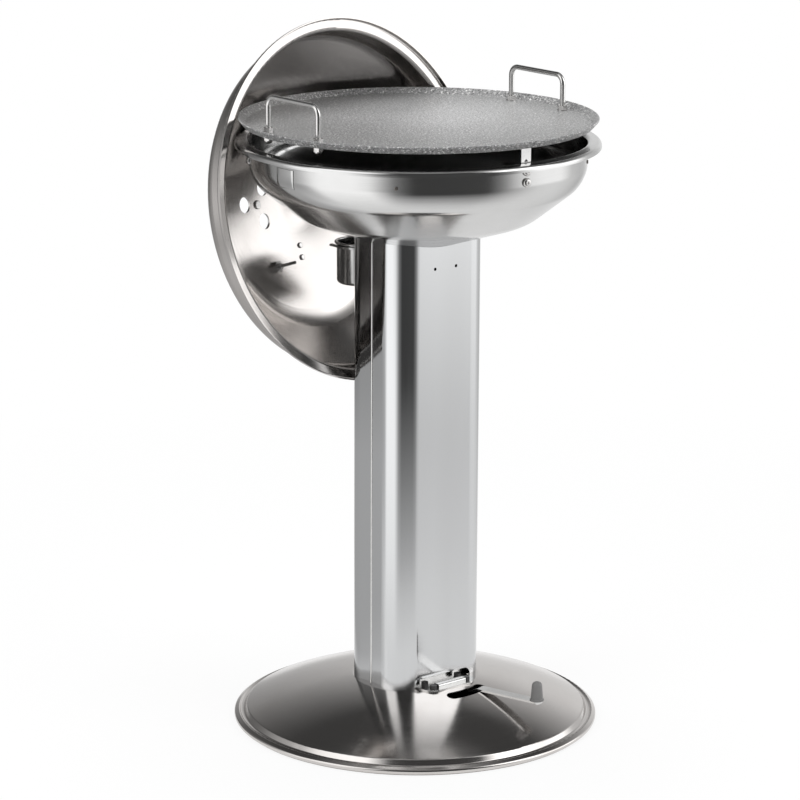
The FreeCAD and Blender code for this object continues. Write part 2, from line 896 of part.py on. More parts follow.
def grid_studs():
    studs = []
    outer = bowl_wall_radius + contact_gap
    inner = math.sqrt(wall_inside ** 2 - stud_pin_radius ** 2) - contact_gap
    for angle in stud_angles:
        pin = disc(stud_pin_radius, inner - stud_pin_length, inner)
        shank = disc(stud_shank_radius, inner, outer)
        stud = joined([pin, shank, pan_head(stud_head_radius, outer, stud_head)])
        stud.rotate(CENTRE, Vec(1, 0, 0), 90)
        stud.translate(Vec(0, 0, wall_screw_height))
        studs.append(from_front(stud, angle))
    return Part.makeCompound(studs)


# Charcoal grate

def charcoal_grate():
    """Welded grate whose flat band lies on the bowl's sloping side."""
    slope = math.radians(bowl_side_angle)
    on_side = knuckle_height + rise(grate_overhang, bowl_side_angle)
    low = on_side + (bowl_sheet + seat_gap) / math.cos(slope)
    pieces = [ring(grate_radius, grate_radius - grate_band_width, low, low + grate_band_height)]
    reach = grate_radius - grate_band_width / 2
    middle = low + grate_band_height / 2
    count = int((reach - grate_band_width) // grate_pitch)
    for i in range(-count, count + 1):
        x = i * grate_pitch
        half = math.sqrt(reach ** 2 - x ** 2)
        pieces.append(Part.makeCylinder(grate_bar_radius, 2 * half, Vec(x, -half, middle), Vec(0, 1, 0)))
    return joined(pieces)


# Griddle plate

def handle_leg_spots(side):
    return [(side * handle_radius, end * handle_span / 2) for end in (-1, 1)]


def all_leg_spots():
    return handle_leg_spots(-1) + handle_leg_spots(1)


def griddle_plate():
    top = griddle_bottom + griddle_rim_height
    inner_top = griddle_radius - griddle_rim_sheet
    inner_floor = griddle_foot_radius - griddle_rim_sheet
    outline = [(0, griddle_bottom), (griddle_foot_radius, griddle_bottom), (griddle_radius, top),
               (inner_top, top), (inner_floor, griddle_floor), (0, griddle_floor)]
    rounds = [griddle_foot_round, griddle_edge_round, griddle_edge_round, griddle_floor_round]
    body = spun_outline(outline, rounds)
    notch = box((-griddle_notch_width / 2, -griddle_radius - 1, griddle_bottom - 1),
                (griddle_notch_width / 2, -griddle_radius + griddle_notch_depth, top + 1))
    cuts = [from_front(notch, bracket_angles[0])]
    cuts += [disc(handle_wire_radius + hole_gap, griddle_bottom, top, x, y) for x, y in all_leg_spots()]
    return body.cut(cuts)


def griddle_handle(side):
    half = handle_span / 2
    top = griddle_floor + handle_height - handle_wire_radius
    points = [(-half, handle_leg_end), (-half, top), (half, top), (half, handle_leg_end)]
    wire = turned(bent_rod(points, handle_bend, handle_wire_radius), 90)
    wire.translate(Vec(side * handle_radius, 0, 0))
    return wire


def handle_nuts():
    low = griddle_floor + washer_sheet
    hole = handle_wire_radius + running_gap
    nuts = [nut(handle_nut_flats, hole, low, low + nut_height, x, y) for x, y in all_leg_spots()]
    return Part.makeCompound(nuts)


def handle_washers():
    hole = handle_wire_radius + running_gap
    washers = []
    for x, y in all_leg_spots():
        washers.append(ring(handle_washer_radius, hole, griddle_floor, griddle_floor + washer_sheet, x, y))
        washers.append(ring(handle_washer_radius, hole, griddle_bottom - washer_sheet, griddle_bottom, x, y))
    return Part.makeCompound(washers)


def handle_cap_nuts():
    top = griddle_bottom - washer_sheet
    low = top - cap_nut_height
    middle = top - nut_height
    nuts = []
    for x, y in all_leg_spots():
        dome = spun_outline([(0, 0), (handle_nut_flats / 2, 0), (handle_nut_flats / 2, middle - low),
                             (0, middle - low)], [handle_nut_flats / 2 - cap_nut_tip_radius, 0])
        dome.translate(Vec(x, y, low))
        body = joined([prism(handle_nut_flats, middle, top, x, y), dome])
        nuts.append(body.cut(disc(handle_wire_radius + running_gap, low + cap_nut_wall, top, x, y)))
    return Part.makeCompound(nuts)


# Lid, modelled closed side down about its own axis and then hung

def crown_height(radius):
    return lid_crown_depth - crown_slope * (radius - lid_crown_radius)


def crown_inside(radius):
    return crown_height(radius) - lid_sheet / math.cos(crown_angle)


def on_crown(shape, place):
    """Sets a piece, built upright on the XY plane, square on the lid's sloping crown."""
    radius = math.hypot(place[0], place[1])
    normal = Vec(crown_slope * place[0] / radius, crown_slope * place[1] / radius, 1)
    spot = Vec(place[0], place[1], crown_height(radius))
    copy = shape.copy()
    copy.Placement = FreeCAD.Placement(spot, FreeCAD.Rotation(UP, normal)).multiply(copy.Placement)
    return copy


def hung(shape, turn=lid_turn):
    """Turns a lid piece about the lid's axis, then hangs it behind the bowl."""
    matrix = FreeCAD.Matrix(-1, 0, 0, 0,
                            0, tilt_sine, tilt_cosine, lid_centre_y,
                            0, tilt_cosine, -tilt_sine, lid_centre_z,
                            0, 0, 0, 1)
    copy = turned(shape, turn)
    copy.Placement = FreeCAD.Placement(matrix).multiply(copy.Placement)
    return turned(copy, lid_yaw)


def unhung_point(y, z):
    """Lid coordinates (along its upward direction, along its axis) of a point behind the bowl."""
    back = y - lid_centre_y
    above = z - lid_centre_z
    return (back * tilt_sine + above * tilt_cosine, back * tilt_cosine - above * tilt_sine)


def lid_screw_places():
    half = lid_handle_span / 2
    return [(0, end * half + step) for end in (-1, 1) for step in (-lid_screw_offset, lid_screw_offset)]


def vent_hole_spots(start):
    step = 360 / vent_hole_count
    turns = [math.radians(start + i * step) for i in range(vent_hole_count)]
    return [(vent_hole_circle * math.cos(turn), vent_hole_circle * math.sin(turn)) for turn in turns]


def through(radius, x=0, y=0):
    """A short drill for cutting one sheet at the crown."""
    return disc(radius, -6 * lid_sheet, 6 * lid_sheet, x, y)


def lid_dome():
    edge = lid_radius
    path = [(0, lid_crown_depth), (lid_crown_radius, lid_crown_depth),
            (lid_knuckle_radius, lid_knuckle_depth), (lid_wall_radius, lid_wall_depth),
            (lid_wall_radius, lid_flange_depth),
            (edge, lid_flange_depth), (edge, 0)]
    radii = [lid_crown_round, lid_knuckle_round, lid_corner_round, lid_edge_round, lid_edge_round]
    dome = spun(sheet_face(path, radii, -lid_sheet))
    cuts = [on_crown(through(vent_hole_radius, x, y), vent_place) for x, y in vent_hole_spots(0)]
    cuts.append(on_crown(through(vent_rivet_radius + hole_gap), vent_place))
    cuts.append(on_crown(through(stem_thread_radius + hole_gap), gauge_place))
    cuts += [on_crown(through(lid_screw_radius + hole_gap), place) for place in lid_screw_places()]
    hook_holes = [on_crown(through(rivet_radius + running_gap), (0, y)) for y in hook_rivet_places]
    cuts += [turned(hole, -lid_turn) for hole in hook_holes]
    return dome.cut(cuts)


def lid_hook():
    """Bent strip inside the crown: a leg on the dome, an arm over the bowl's rim and a tip inside it."""
    arm_low = rim_top + seat_gap
    arm_high = arm_low + hook_sheet
    tip_back = wall_inside - hook_reach_in
    tip_front = tip_back - hook_sheet
    tip_low = rim_top - hook_tip_drop
    near = contact_gap / math.cos(crown_angle)
    inside = crown_inside(0) - near
    lean = tilt_cosine + crown_slope * tilt_sine
    foot = (arm_low - lid_centre_z + inside * tilt_sine) / lean
    corner = (arm_high - lid_centre_z + (inside - hook_sheet) * tilt_sine) / lean
    points = [(foot, inside - crown_slope * foot), (hook_leg_top, inside - crown_slope * hook_leg_top),
              (hook_leg_top, inside - crown_slope * hook_leg_top - hook_sheet),
              (corner, inside - crown_slope * corner - hook_sheet)]
    points += [unhung_point(y, z) for y, z in ((tip_front, arm_high), (tip_front, tip_low),
                                               (tip_back, tip_low), (tip_back, arm_low))]
    outline = [Vec(-hook_width / 2, along, up) for along, up in points + points[:1]]
    hook = Part.Face(Part.makePolygon(outline)).extrude(Vec(hook_width, 0, 0))
    return hook.cut([on_crown(through(rivet_radius + running_gap), (0, y)) for y in hook_rivet_places])


def hook_rivets():
    rivets = []
    deep = -lid_sheet - contact_gap - hook_sheet - contact_gap
    for y in hook_rivet_places:
        outside = pan_head(rivet_head_radius, contact_gap, rivet_head)
        inside = pan_head(rivet_head_radius, 0, rivet_head)
        inside.rotate(CENTRE, Vec(1, 0, 0), 180)
        inside.translate(Vec(0, 0, deep))
        rivet = joined([outside, disc(rivet_radius, deep, contact_gap), inside])
        rivets.append(on_crown(rivet, (0, y)))
    return Part.makeCompound(rivets)


def lid_handle_feet():
    feet = []
    w = lid_foot_width / 2
    d = lid_foot_length / 2
    for end in (-1, 1):
        foot = rounded_block(2 * w, 2 * d, w / 2, contact_gap, contact_gap + lid_foot_sheet)
        foot = on_crown(foot, (0, end * lid_handle_span / 2))
        feet.append(foot)
    drills = []
    for place in lid_screw_places():
        bite = disc(lid_screw_radius + running_gap, 0, contact_gap + lid_screw_bite + running_gap)
        drills.append(on_crown(bite, place))
    return Part.makeCompound([foot.cut(drills) for foot in feet])


def lid_handle_bow():
    half = lid_handle_span / 2
    low = crown_height(half)
    top = low + lid_foot_sheet + lid_handle_height
    points = [(-half, low), (-half, top), (half, top), (half, low)]
    rod = turned(bent_rod(points, lid_handle_bend, lid_handle_rod_radius), 90)
    below = []
    for end in (-1, 1):
        block = disc(lid_foot_length, -lid_foot_length, contact_gap + lid_foot_sheet)
        below.append(on_crown(block, (0, end * half)))
    return rod.cut(below)


def lid_handle_grip():
    half = grip_length / 2
    outline = [(0, -half), (grip_radius, -half), (grip_radius, half), (0, half)]
    grip = spun_outline(outline, [grip_round, grip_round])
    grip = grip.cut(disc(lid_handle_rod_radius + running_gap, -half, half))
    grip.rotate(CENTRE, Vec(1, 0, 0), 90)
    grip.translate(Vec(0, 0, crown_height(lid_handle_span / 2) + lid_foot_sheet + lid_handle_height))
    return grip


def lid_handle_screws():
    screws = []
    low = -lid_sheet - contact_gap
    for place in lid_screw_places():
        head = pan_head(lid_screw_head_radius, 0, lid_screw_head)
        head.rotate(CENTRE, Vec(1, 0, 0), 180)
        head.translate(Vec(0, 0, low))
        screws.append(on_crown(joined([head, disc(lid_screw_radius, low, lid_screw_bite)]), place))
    return Part.makeCompound(screws)


# Thermometer

def thermometer_case():
    inside = gauge_radius - gauge_wall
    body = spun_outline([(0, contact_gap), (gauge_radius, contact_gap), (gauge_radius, gauge_depth),
                         (0, gauge_depth)], [gauge_round, gauge_round])
    body = body.cut(disc(inside, gauge_floor, gauge_depth - bezel_lip))
    body = body.cut(disc(inside - bezel_lip, gauge_floor, gauge_depth))
    body = body.cut(disc(spindle_radius + running_gap, 0, gauge_depth))
    return on_crown(body, gauge_place)


def thermometer_dial():
    radius = gauge_radius - gauge_wall - hole_gap
    dial = ring(radius, spindle_radius + hole_gap, gauge_floor, gauge_floor + dial_sheet)
    return on_crown(dial, gauge_place)


def thermometer_needle():
    low = gauge_floor + dial_sheet + seat_gap
    hub = disc(needle_hub_radius, low, low + needle_hub_height)
    w = needle_width / 2
    tail = -needle_length / 3
    plan = [(0, tail), (w, tail), (w / 3, needle_length), (-w / 3, needle_length), (-w, tail), (0, tail)]
    points = [Vec(x, y, low + needle_hub_height / 2) for x, y in plan]
    pointer = Part.Face(Part.makePolygon(points)).extrude(Vec(0, 0, needle_sheet))
    needle = joined([hub, pointer]).cut(disc(spindle_radius + running_gap, low, low + needle_hub_height))
    return on_crown(needle, gauge_place)


def thermometer_glass():
    radius = gauge_radius - gauge_wall - running_gap * 2
    top = gauge_depth - bezel_lip
    return on_crown(disc(radius, top - glass_sheet, top), gauge_place)


def thermometer_stem():
    spindle_top = gauge_floor + dial_sheet + seat_gap + needle_hub_height + running_gap
    thread = disc(stem_thread_radius, -stem_thread_length, contact_gap)
    probe = disc(stem_radius, -stem_length, -stem_thread_length)
    spindle = disc(spindle_radius, contact_gap, spindle_top)
    return on_crown(joined([thread, probe, spindle]), gauge_place)


def thermometer_nut():
    top = -lid_sheet - contact_gap
    piece = nut(stem_nut_flats, stem_thread_radius + running_gap, top - stem_nut_height, top)
    return on_crown(piece, gauge_place)


# Rotary vent

def vent_disc():
    low = seat_gap
    high = low + vent_disc_sheet
    reach = vent_disc_radius + vent_tab_reach
    w = vent_tab_width / 2
    tab = box((0, -w, low), (reach, w, high))
    lip = box((reach - vent_disc_sheet, -w, low), (reach, w, high + vent_tab_height))
    body = joined([disc(vent_disc_radius, low, high), tab, lip])
    cuts = [disc(vent_hole_radius, low, high, x, y) for x, y in vent_hole_spots(vent_half_pitch)]
    cuts.append(disc(vent_rivet_radius + running_gap, low, high))
    body = turned(body.cut(cuts), vent_rest_angle - vent_half_pitch)
    return on_crown(body, vent_place)


def vent_rivet():
    high = seat_gap + vent_disc_sheet + seat_gap
    deep = -lid_sheet - contact_gap
    inside = pan_head(vent_rivet_head_radius, 0, vent_rivet_head)
    inside.rotate(CENTRE, Vec(1, 0, 0), 180)
    inside.translate(Vec(0, 0, deep))
    shank = disc(vent_rivet_radius, deep, high)
    body = joined([pan_head(vent_rivet_head_radius, high, vent_rivet_head), shank, inside])
    return on_crown(body, vent_place)


# Grease cup and its fork

def grease_cup():
    low = cup_top - cup_height
    lip_low = cup_top - cup_lip_height
    outer = cup_radius + cup_lip_width
    path = [(0, low), (cup_radius, low), (cup_radius, lip_low + cup_sheet)]
    body = spun(sheet_face(path, [cup_floor_round], cup_sheet))
    lip_outline = [(cup_radius - cup_sheet, lip_low), (outer, lip_low), (outer, cup_top),
                   (cup_radius - cup_sheet, cup_top), (cup_radius - cup_sheet, lip_low)]
    lip = spun(closed_face(rounded_edges(lip_outline, [cup_lip_round] * 3)))
    cup = joined([body, lip])
    cup.translate(Vec(0, cup_centre_y, 0))
    return cup


def fork_screw_spots():
    return [-fork_screw_spacing / 2, fork_screw_spacing / 2]


def fork_screw_height():
    return fork_bottom - fork_plate_height / 2 + fork_sheet


def fork_bore(x, radius):
    bore = disc(radius, 0, column_depth / 2)
    bore.rotate(CENTRE, Vec(1, 0, 0), -90)
    bore.translate(Vec(x, column_depth / 4, fork_screw_height()))
    return bore


def cup_fork():
    """Plate on the column's back with an arm and two prongs under the cup's lip."""
    back = column_depth / 2
    w = fork_plate_width / 2
    plate = box((-w, back, fork_top - fork_plate_height), (w, back + fork_plate_sheet, fork_top))
    arm = box((-fork_arm_width / 2, back, fork_bottom), (fork_arm_width / 2, cup_centre_y, fork_top))
    inner = cup_radius + fork_side_gap
    outer = inner + fork_prong
    prongs = disc(outer, fork_bottom, fork_top, 0, cup_centre_y)
    far = cup_centre_y + fork_reach
    prongs = prongs.fuse(box((-outer, cup_centre_y, fork_bottom), (outer, far, fork_top)))
    prongs = prongs.cut(box((-outer, far, fork_bottom), (outer, far + outer, fork_top)))
    body = joined([plate, arm, prongs])
    slot = [disc(inner, fork_bottom, fork_top, 0, cup_centre_y)]
    slot.append(box((-inner, cup_centre_y, fork_bottom), (inner, far, fork_top)))
    slot += [fork_bore(x, fork_screw_radius + hole_gap) for x in fork_screw_spots()]
    return body.cut(slot)


def fork_screws():
    screws = []
    outer = column_depth / 2 + fork_plate_sheet
    inner = inner_depth / 2 - fork_nut_height - screw_tail
    for x in fork_screw_spots():
        head = pan_head(fork_screw_head_radius, outer, fork_screw_head)
        screw = joined([head, disc(fork_screw_radius, inner, outer)])
        screw.rotate(CENTRE, Vec(1, 0, 0), -90)
        screw.translate(Vec(x, 0, fork_screw_height()))
        screws.append(screw)
    return Part.makeCompound(screws)


def fork_nuts():
    nuts = []
    outer = inner_depth / 2
    for x in fork_screw_spots():
        piece = nut(fork_nut_flats, fork_screw_radius + running_gap, outer - fork_nut_height, outer)
        piece.rotate(CENTRE, Vec(1, 0, 0), -90)
        piece.translate(Vec(x, 0, fork_screw_height()))
        nuts.append(piece)
    return Part.makeCompound(nuts)


pieces = {
    "base_dome": base_dome(),
    "base_pan": base_pan(),
    "seat_ring": seat_ring(),
    "foot_plate": foot_plate(),
    "ash_guard": ash_guard(),
    "foot_rib": foot_rib(),
    "foot_bolts": foot_bolts(),
    "shutter_disc": shutter_disc(),
    "lever_hub": lever_hub(),
    "lever_bar": lever_bar(),
    "lever_knob": lever_knob(),
    "knob_screw": knob_screw(),
    "pivot_bolt": pivot_bolt(),
    "pivot_nut": pivot_nut(),
    "column_front_shell": column_front_shell(),
    "column_rear_shell": column_rear_shell(),
    "seam_strip_left": seam_strip(-1),
    "seam_strip_right": seam_strip(1),
    "column_head": column_head(),
    "bowl": bowl(),
    "bowl_bolts": bowl_bolts(),
    "bowl_nuts": bowl_nuts(),
    "support_bracket_front": support_bracket(bracket_angles[0]),
    "support_bracket_left": support_bracket(bracket_angles[1]),
    "support_bracket_right": support_bracket(bracket_angles[2]),
    "bracket_screws": bracket_screws(),
    "bracket_nuts": bracket_nuts(),
    "grid_studs": grid_studs(),
    "charcoal_grate": charcoal_grate(),
    "griddle_plate": griddle_plate(),
    "griddle_handle_left": griddle_handle(-1),
    "griddle_handle_right": griddle_handle(1),
    "handle_nuts": handle_nuts(),
    "handle_washers": handle_washers(),
    "handle_cap_nuts": handle_cap_nuts(),
    "lid_dome": hung(lid_dome()),
    "lid_hook": hung(lid_hook(), 0),
    "hook_rivets": hung(hook_rivets(), 0),
    "lid_handle_feet": hung(lid_handle_feet()),
    "lid_handle_bow": hung(lid_handle_bow()),
    "lid_handle_grip": hung(lid_handle_grip()),
    "lid_handle_screws": hung(lid_handle_screws()),
    "thermometer_case": hung(thermometer_case()),
    "thermometer_dial": hung(thermometer_dial()),
    "thermometer_needle": hung(thermometer_needle()),
    "thermometer_glass": hung(thermometer_glass()),
    "thermometer_stem": hung(thermometer_stem()),
    "thermometer_nut": hung(thermometer_nut()),
    "vent_disc": hung(vent_disc()),
    "vent_rivet": hung(vent_rivet()),
    "grease_cup": grease_cup(),
    "cup_fork": cup_fork(),
    "fork_screws": fork_screws(),
    "fork_nuts": fork_nuts(),
}

os.makedirs("parts", exist_ok=True)
for name, shape in pieces.items():
    shape.exportStep("parts/" + name + ".step")
    bounds = shape.BoundBox
    print(name, len(shape.Solids), "solids", "valid" if shape.isValid() else "NOT VALID",
          "volume %.0f" % shape.Volume, "z %.1f to %.1f" % (bounds.ZMin, bounds.ZMax))
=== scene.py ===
import json
import math

import bmesh
import bpy
from mathutils import Matrix, Vector


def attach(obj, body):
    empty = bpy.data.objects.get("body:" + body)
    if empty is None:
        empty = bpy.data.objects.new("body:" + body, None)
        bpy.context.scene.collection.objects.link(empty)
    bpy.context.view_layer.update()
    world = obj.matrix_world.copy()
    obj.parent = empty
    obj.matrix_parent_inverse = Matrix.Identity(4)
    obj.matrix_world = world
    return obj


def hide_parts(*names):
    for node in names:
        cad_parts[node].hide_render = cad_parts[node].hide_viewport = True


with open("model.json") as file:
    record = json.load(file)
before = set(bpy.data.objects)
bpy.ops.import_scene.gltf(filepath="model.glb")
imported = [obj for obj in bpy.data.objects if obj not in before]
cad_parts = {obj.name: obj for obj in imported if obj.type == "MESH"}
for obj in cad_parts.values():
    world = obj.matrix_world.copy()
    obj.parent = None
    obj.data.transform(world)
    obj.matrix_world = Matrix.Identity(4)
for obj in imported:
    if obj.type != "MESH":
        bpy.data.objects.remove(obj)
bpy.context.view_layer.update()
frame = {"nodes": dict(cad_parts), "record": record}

nodes = frame["nodes"]
scene = bpy.context.scene
scene.view_settings.view_transform = "Standard"
bpy.ops.object.select_all(action="DESELECT")

# Lengths are in metres. Where the photograph was taken from:
camera_bearing = math.radians(39.5)
camera_pitch = math.radians(14.43)
camera_roll = math.radians(0.25)
camera_aside = -0.0257
camera_back = 5.038
camera_height = 1.804
camera_lens = 152.13
camera_sensor = 36
camera_nearest = 0.1
camera_farthest = 100

# Pale floor: its tone, how white it is seen near and far, and how far out mirrors still show it
floor_radius = 4.5
floor_sides = 96
floor_tone = 0.86
floor_white = 0.84
floor_shade_reach = (0.5, 2.0)
floor_mirror_reach = 2.5
floor_mirror_levels = [
    (0.18, 1.0), (0.3, 0.8), (0.4, 0.55), (0.5, 0.4), (0.6, 0.27), (0.72, 0.15), (0.92, 0.0)]

# Part of the floor, left of the stand and behind it, that mirrors hardly show
shy_floor_aside = (-0.4, -0.18)
shy_floor_away = (-0.25, 0.05)
shy_floor_loss = 0.8

# White surround: its share as plain light, and as it is seen
surround_light = 0.55
surround_seen = 1.0

# Lamps: name, distance to the camera's right, towards the camera and up, size, power
lamp_aim = Vector((0, 0, 0.6))
lamps = [
    ("soft_left", -2.6, 2.4, 2.6, 2.2, 60),
    ("soft_right", 2.8, 1.2, 2.2, 2.2, 40),
    ("soft_top", 0.0, -0.6, 3.2, 2.4, 50),
]

# Studio walls in the reflections: brightness by bearing in degrees, 0 towards the camera, plus to its right
tent_radius = 9
tent_segments = 48
tent_rings = 24
tent_strength = 2.6
low_wall_levels = [
    (-180, 0.9), (-160, 0.35), (-140, 0.36), (-120, 0.4), (-102, 0.43), (-90, 0.47), (-82, 0.6),
    (-71, 1.45), (-33, 1.45), (-16, 0.3), (-3, 0.06), (48, 0.07), (57, 0.25), (67, 0.55), (78, 0.78),
    (92, 1.0), (110, 1.0), (130, 0.85), (150, 0.58), (168, 0.85), (180, 0.9)]
high_wall_levels = [
    (-180, 0.75), (-165, 0.42), (-145, 0.14), (-120, 0.22), (-101, 0.5), (-92, 0.65), (-80, 1.5),
    (-45, 1.45), (-24, 0.2), (-10, 0.07), (48, 0.08), (60, 0.4), (70, 1.4), (78, 2.0), (112, 2.0),
    (126, 0.7), (142, 0.65), (160, 0.9), (180, 0.75)]
high_panel_levels = [
    (-180, 0), (-86, 0), (-72, 1.7), (-35, 1.7), (-18, 0), (48, 0), (62, 2.6), (92, 2.6), (108, 0.3),
    (125, 0), (180, 0)]
least_panel_level = 0.01
ceiling_level = 0.06
overhead_level = 0.35

# Heights, in degrees over the horizon, between which one part of the studio gives way to the next
low_to_high_wall = (-12, 3)
wall_to_ceiling = (18, 45)
ceiling_to_overhead = (58, 78)
panel_rise = (20, 34)
panel_fall = (70, 45)

RIGHT = Vector((math.cos(camera_bearing), -math.sin(camera_bearing), 0))
AWAY = Vector((math.sin(camera_bearing), math.cos(camera_bearing), 0))
UP = Vector((0, 0, 1))

# How the lid hangs, as in the solids
lid_tilt = math.radians(12.4)
lid_yaw = math.radians(6.5)
lid_turn = math.radians(6.0)
lid_centre = (0, 0.13275, 0.8043)
LID_FRAME = (Matrix.Rotation(lid_yaw, 4, "Z")
             @ Matrix.Translation(lid_centre)
             @ Matrix(((-1, 0, 0, 0),
                       (0, math.sin(lid_tilt), math.cos(lid_tilt), 0),
                       (0, math.cos(lid_tilt), -math.sin(lid_tilt), 0),
                       (0, 0, 0, 1)))
             @ Matrix.Rotation(lid_turn, 4, "Z"))


def set_camera():
    ahead = AWAY * math.cos(camera_pitch) - UP * math.sin(camera_pitch)
    upward = RIGHT.cross(ahead)
    side = RIGHT * math.cos(camera_roll) + upward * math.sin(camera_roll)
    upward = side.cross(ahead)
    place = RIGHT * camera_aside - AWAY * camera_back + UP * camera_height
    data = bpy.data.cameras.new("camera")
    data.sensor_width = camera_sensor
    data.lens = camera_lens
    data.clip_start = camera_nearest
    data.clip_end = camera_farthest
    camera = bpy.data.objects.new("camera", data)
    camera.matrix_world = Matrix((
        (side.x, upward.x, -ahead.x, place.x),
        (side.y, upward.y, -ahead.y, place.y),
        (side.z, upward.z, -ahead.z, place.z),
        (0, 0, 0, 1)))
    scene.collection.objects.link(camera)
    scene.camera = camera


# Node helpers

def feed(tree, socket, value):
    """Joins a socket to a node's input, or sets the input to a plain value."""
    if isinstance(value, bpy.types.NodeSocket):
        tree.links.new(value, socket)
    else:
        socket.default_value = value


def worked_out(tree, kind, first, second=0.0):
    """One step of arithmetic, such as ADD or MULTIPLY."""
    node = tree.nodes.new("ShaderNodeMath")
    node.operation = kind
    feed(tree, node.inputs[0], first)
    feed(tree, node.inputs[1], second)
    return node.outputs[0]


def spread(tree, value, low, high, to_low=0.0, to_high=1.0):
    """Maps a value from one range to another and stops at its ends."""
    node = tree.nodes.new("ShaderNodeMapRange")
    feed(tree, node.inputs["Value"], value)
    node.inputs["From Min"].default_value = low
    node.inputs["From Max"].default_value = high
    node.inputs["To Min"].default_value = to_low
    node.inputs["To Max"].default_value = to_high
    return node.outputs["Result"]


def blended(tree, mask, first, second):
    """Goes from the first colour to the second as the mask goes from 0 to 1."""
    node = tree.nodes.new("ShaderNodeMix")
    node.data_type = "RGBA"
    feed(tree, node.inputs[0], mask)
    feed(tree, node.inputs[6], first)
    feed(tree, node.inputs[7], second)
    return node.outputs[2]


def grey(level):
    return (level, level, level, 1)


def ramp(tree, value, stops):
    """Grey levels at places from 0 to 1, with even slopes between them."""
    node = tree.nodes.new("ShaderNodeValToRGB")
    feed(tree, node.inputs["Fac"], value)
    marks = node.color_ramp.elements
    while len(marks) < len(stops):
        marks.new(1.0)
    for mark, (place, level) in zip(marks, stops):
        mark.position = place
        mark.color = grey(level)
    return node.outputs["Color"]


def noise(tree, place, scale, detail=2.0, roughness=0.5):
    node = tree.nodes.new("ShaderNodeTexNoise")
    feed(tree, node.inputs["Vector"], place)
    feed(tree, node.inputs["Scale"], scale)
    node.inputs["Detail"].default_value = detail
    node.inputs["Roughness"].default_value = roughness
    return node.outputs["Fac"]


def object_place(tree, stretch=(1, 1, 1), turn=(0, 0, 0), shift=(0, 0, 0), kind="POINT"):
    coordinates = tree.nodes.new("ShaderNodeTexCoord")
    mapping = tree.nodes.new("ShaderNodeMapping")
    mapping.vector_type = kind
    tree.links.new(coordinates.outputs["Object"], mapping.inputs["Vector"])
    mapping.inputs["Location"].default_value = shift
    mapping.inputs["Rotation"].default_value = turn
    mapping.inputs["Scale"].default_value = stretch
    return mapping.outputs["Vector"]


def camera_side_place(tree):
    """Place with X to the camera's right and Y away from the camera."""
    return object_place(tree, turn=(0, 0, camera_bearing))


def split_up(tree, vector):
    node = tree.nodes.new("ShaderNodeSeparateXYZ")
    tree.links.new(vector, node.inputs[0])
    return node.outputs


def vector_step(tree, kind, vector):
    node = tree.nodes.new("ShaderNodeVectorMath")
    node.operation = kind
    tree.links.new(vector, node.inputs[0])
    return node.outputs


def length_of(tree, vector):
    return vector_step(tree, "LENGTH", vector)["Value"]


def unit_of(tree, vector):
    return vector_step(tree, "NORMALIZE", vector)["Vector"]


# Floor, white surround and soft light

def seen_rays(tree):
    """1 for what the camera, a mirror or glass sees, 0 for plain light."""
    path = tree.nodes.new("ShaderNodeLightPath")
    seen = worked_out(tree, "MAXIMUM", path.outputs["Is Camera Ray"], path.outputs["Is Glossy Ray"])
    return worked_out(tree, "MAXIMUM", seen, path.outputs["Is Transmission Ray"])


def set_world():
    world = bpy.data.worlds.new("surround")
    world.use_nodes = True
    tree = world.node_tree
    back = tree.nodes["Background"]
    back.inputs["Color"].default_value = grey(1)
    strength = spread(tree, seen_rays(tree), 0, 1, surround_light, surround_seen)
    feed(tree, back.inputs["Strength"], strength)
    scene.world = world


def bare_finish(name):
    """A finish with nothing but its output."""
    finish = bpy.data.materials.new(name)
    finish.use_nodes = True
    tree = finish.node_tree
    tree.nodes.clear()
    return finish, tree, tree.nodes.new("ShaderNodeOutputMaterial").inputs["Surface"]


def floor_finish():
    """Pale floor: it keeps the soft shadow near the part, and mirrors lose sight of it further out."""
    finish, tree, out = bare_finish("pale_floor")
    mixed = tree.nodes.new("ShaderNodeMixShader")
    plain = tree.nodes.new("ShaderNodeBsdfDiffuse")
    plain.inputs["Color"].default_value = grey(floor_tone)
    glow = tree.nodes.new("ShaderNodeEmission")
    glow.inputs["Color"].default_value = grey(1)
    clear = tree.nodes.new("ShaderNodeBsdfTransparent")
    ending = tree.nodes.new("ShaderNodeMixShader")
    far = length_of(tree, object_place(tree))
    white = spread(tree, far, *floor_shade_reach, floor_white, 1.0)
    feed(tree, mixed.inputs[0], worked_out(tree, "MULTIPLY", seen_rays(tree), white))
    tree.links.new(plain.outputs[0], mixed.inputs[1])
    tree.links.new(glow.outputs[0], mixed.inputs[2])
    kept = ramp(tree, spread(tree, far, 0, floor_mirror_reach), floor_mirror_levels)
    apart = split_up(tree, camera_side_place(tree))
    shy_aside = spread(tree, apart["X"], *shy_floor_aside, shy_floor_loss, 0.0)
    shy = worked_out(tree, "MULTIPLY", shy_aside, spread(tree, apart["Y"], *shy_floor_away))
    lost = worked_out(tree, "MAXIMUM", worked_out(tree, "SUBTRACT", 1.0, kept), shy)
    path = tree.nodes.new("ShaderNodeLightPath")
    feed(tree, ending.inputs[0], worked_out(tree, "MULTIPLY", lost, path.outputs["Is Glossy Ray"]))
    tree.links.new(mixed.outputs[0], ending.inputs[1])
    tree.links.new(clear.outputs[0], ending.inputs[2])
    tree.links.new(ending.outputs[0], out)
    return finish


def lay_floor():
    bpy.ops.mesh.primitive_circle_add(vertices=floor_sides, radius=floor_radius, fill_type="NGON")
    floor = bpy.context.object
    floor.name = "floor"
    floor.data.materials.append(floor_finish())


def round_levels(tree, bearing, stops):
    """Brightness by bearing, as a share of the tent's full strength."""
    return ramp(tree, spread(tree, bearing, -math.pi, math.pi), [
        ((degrees + 180) / 360, level / tent_strength) for degrees, level in stops])


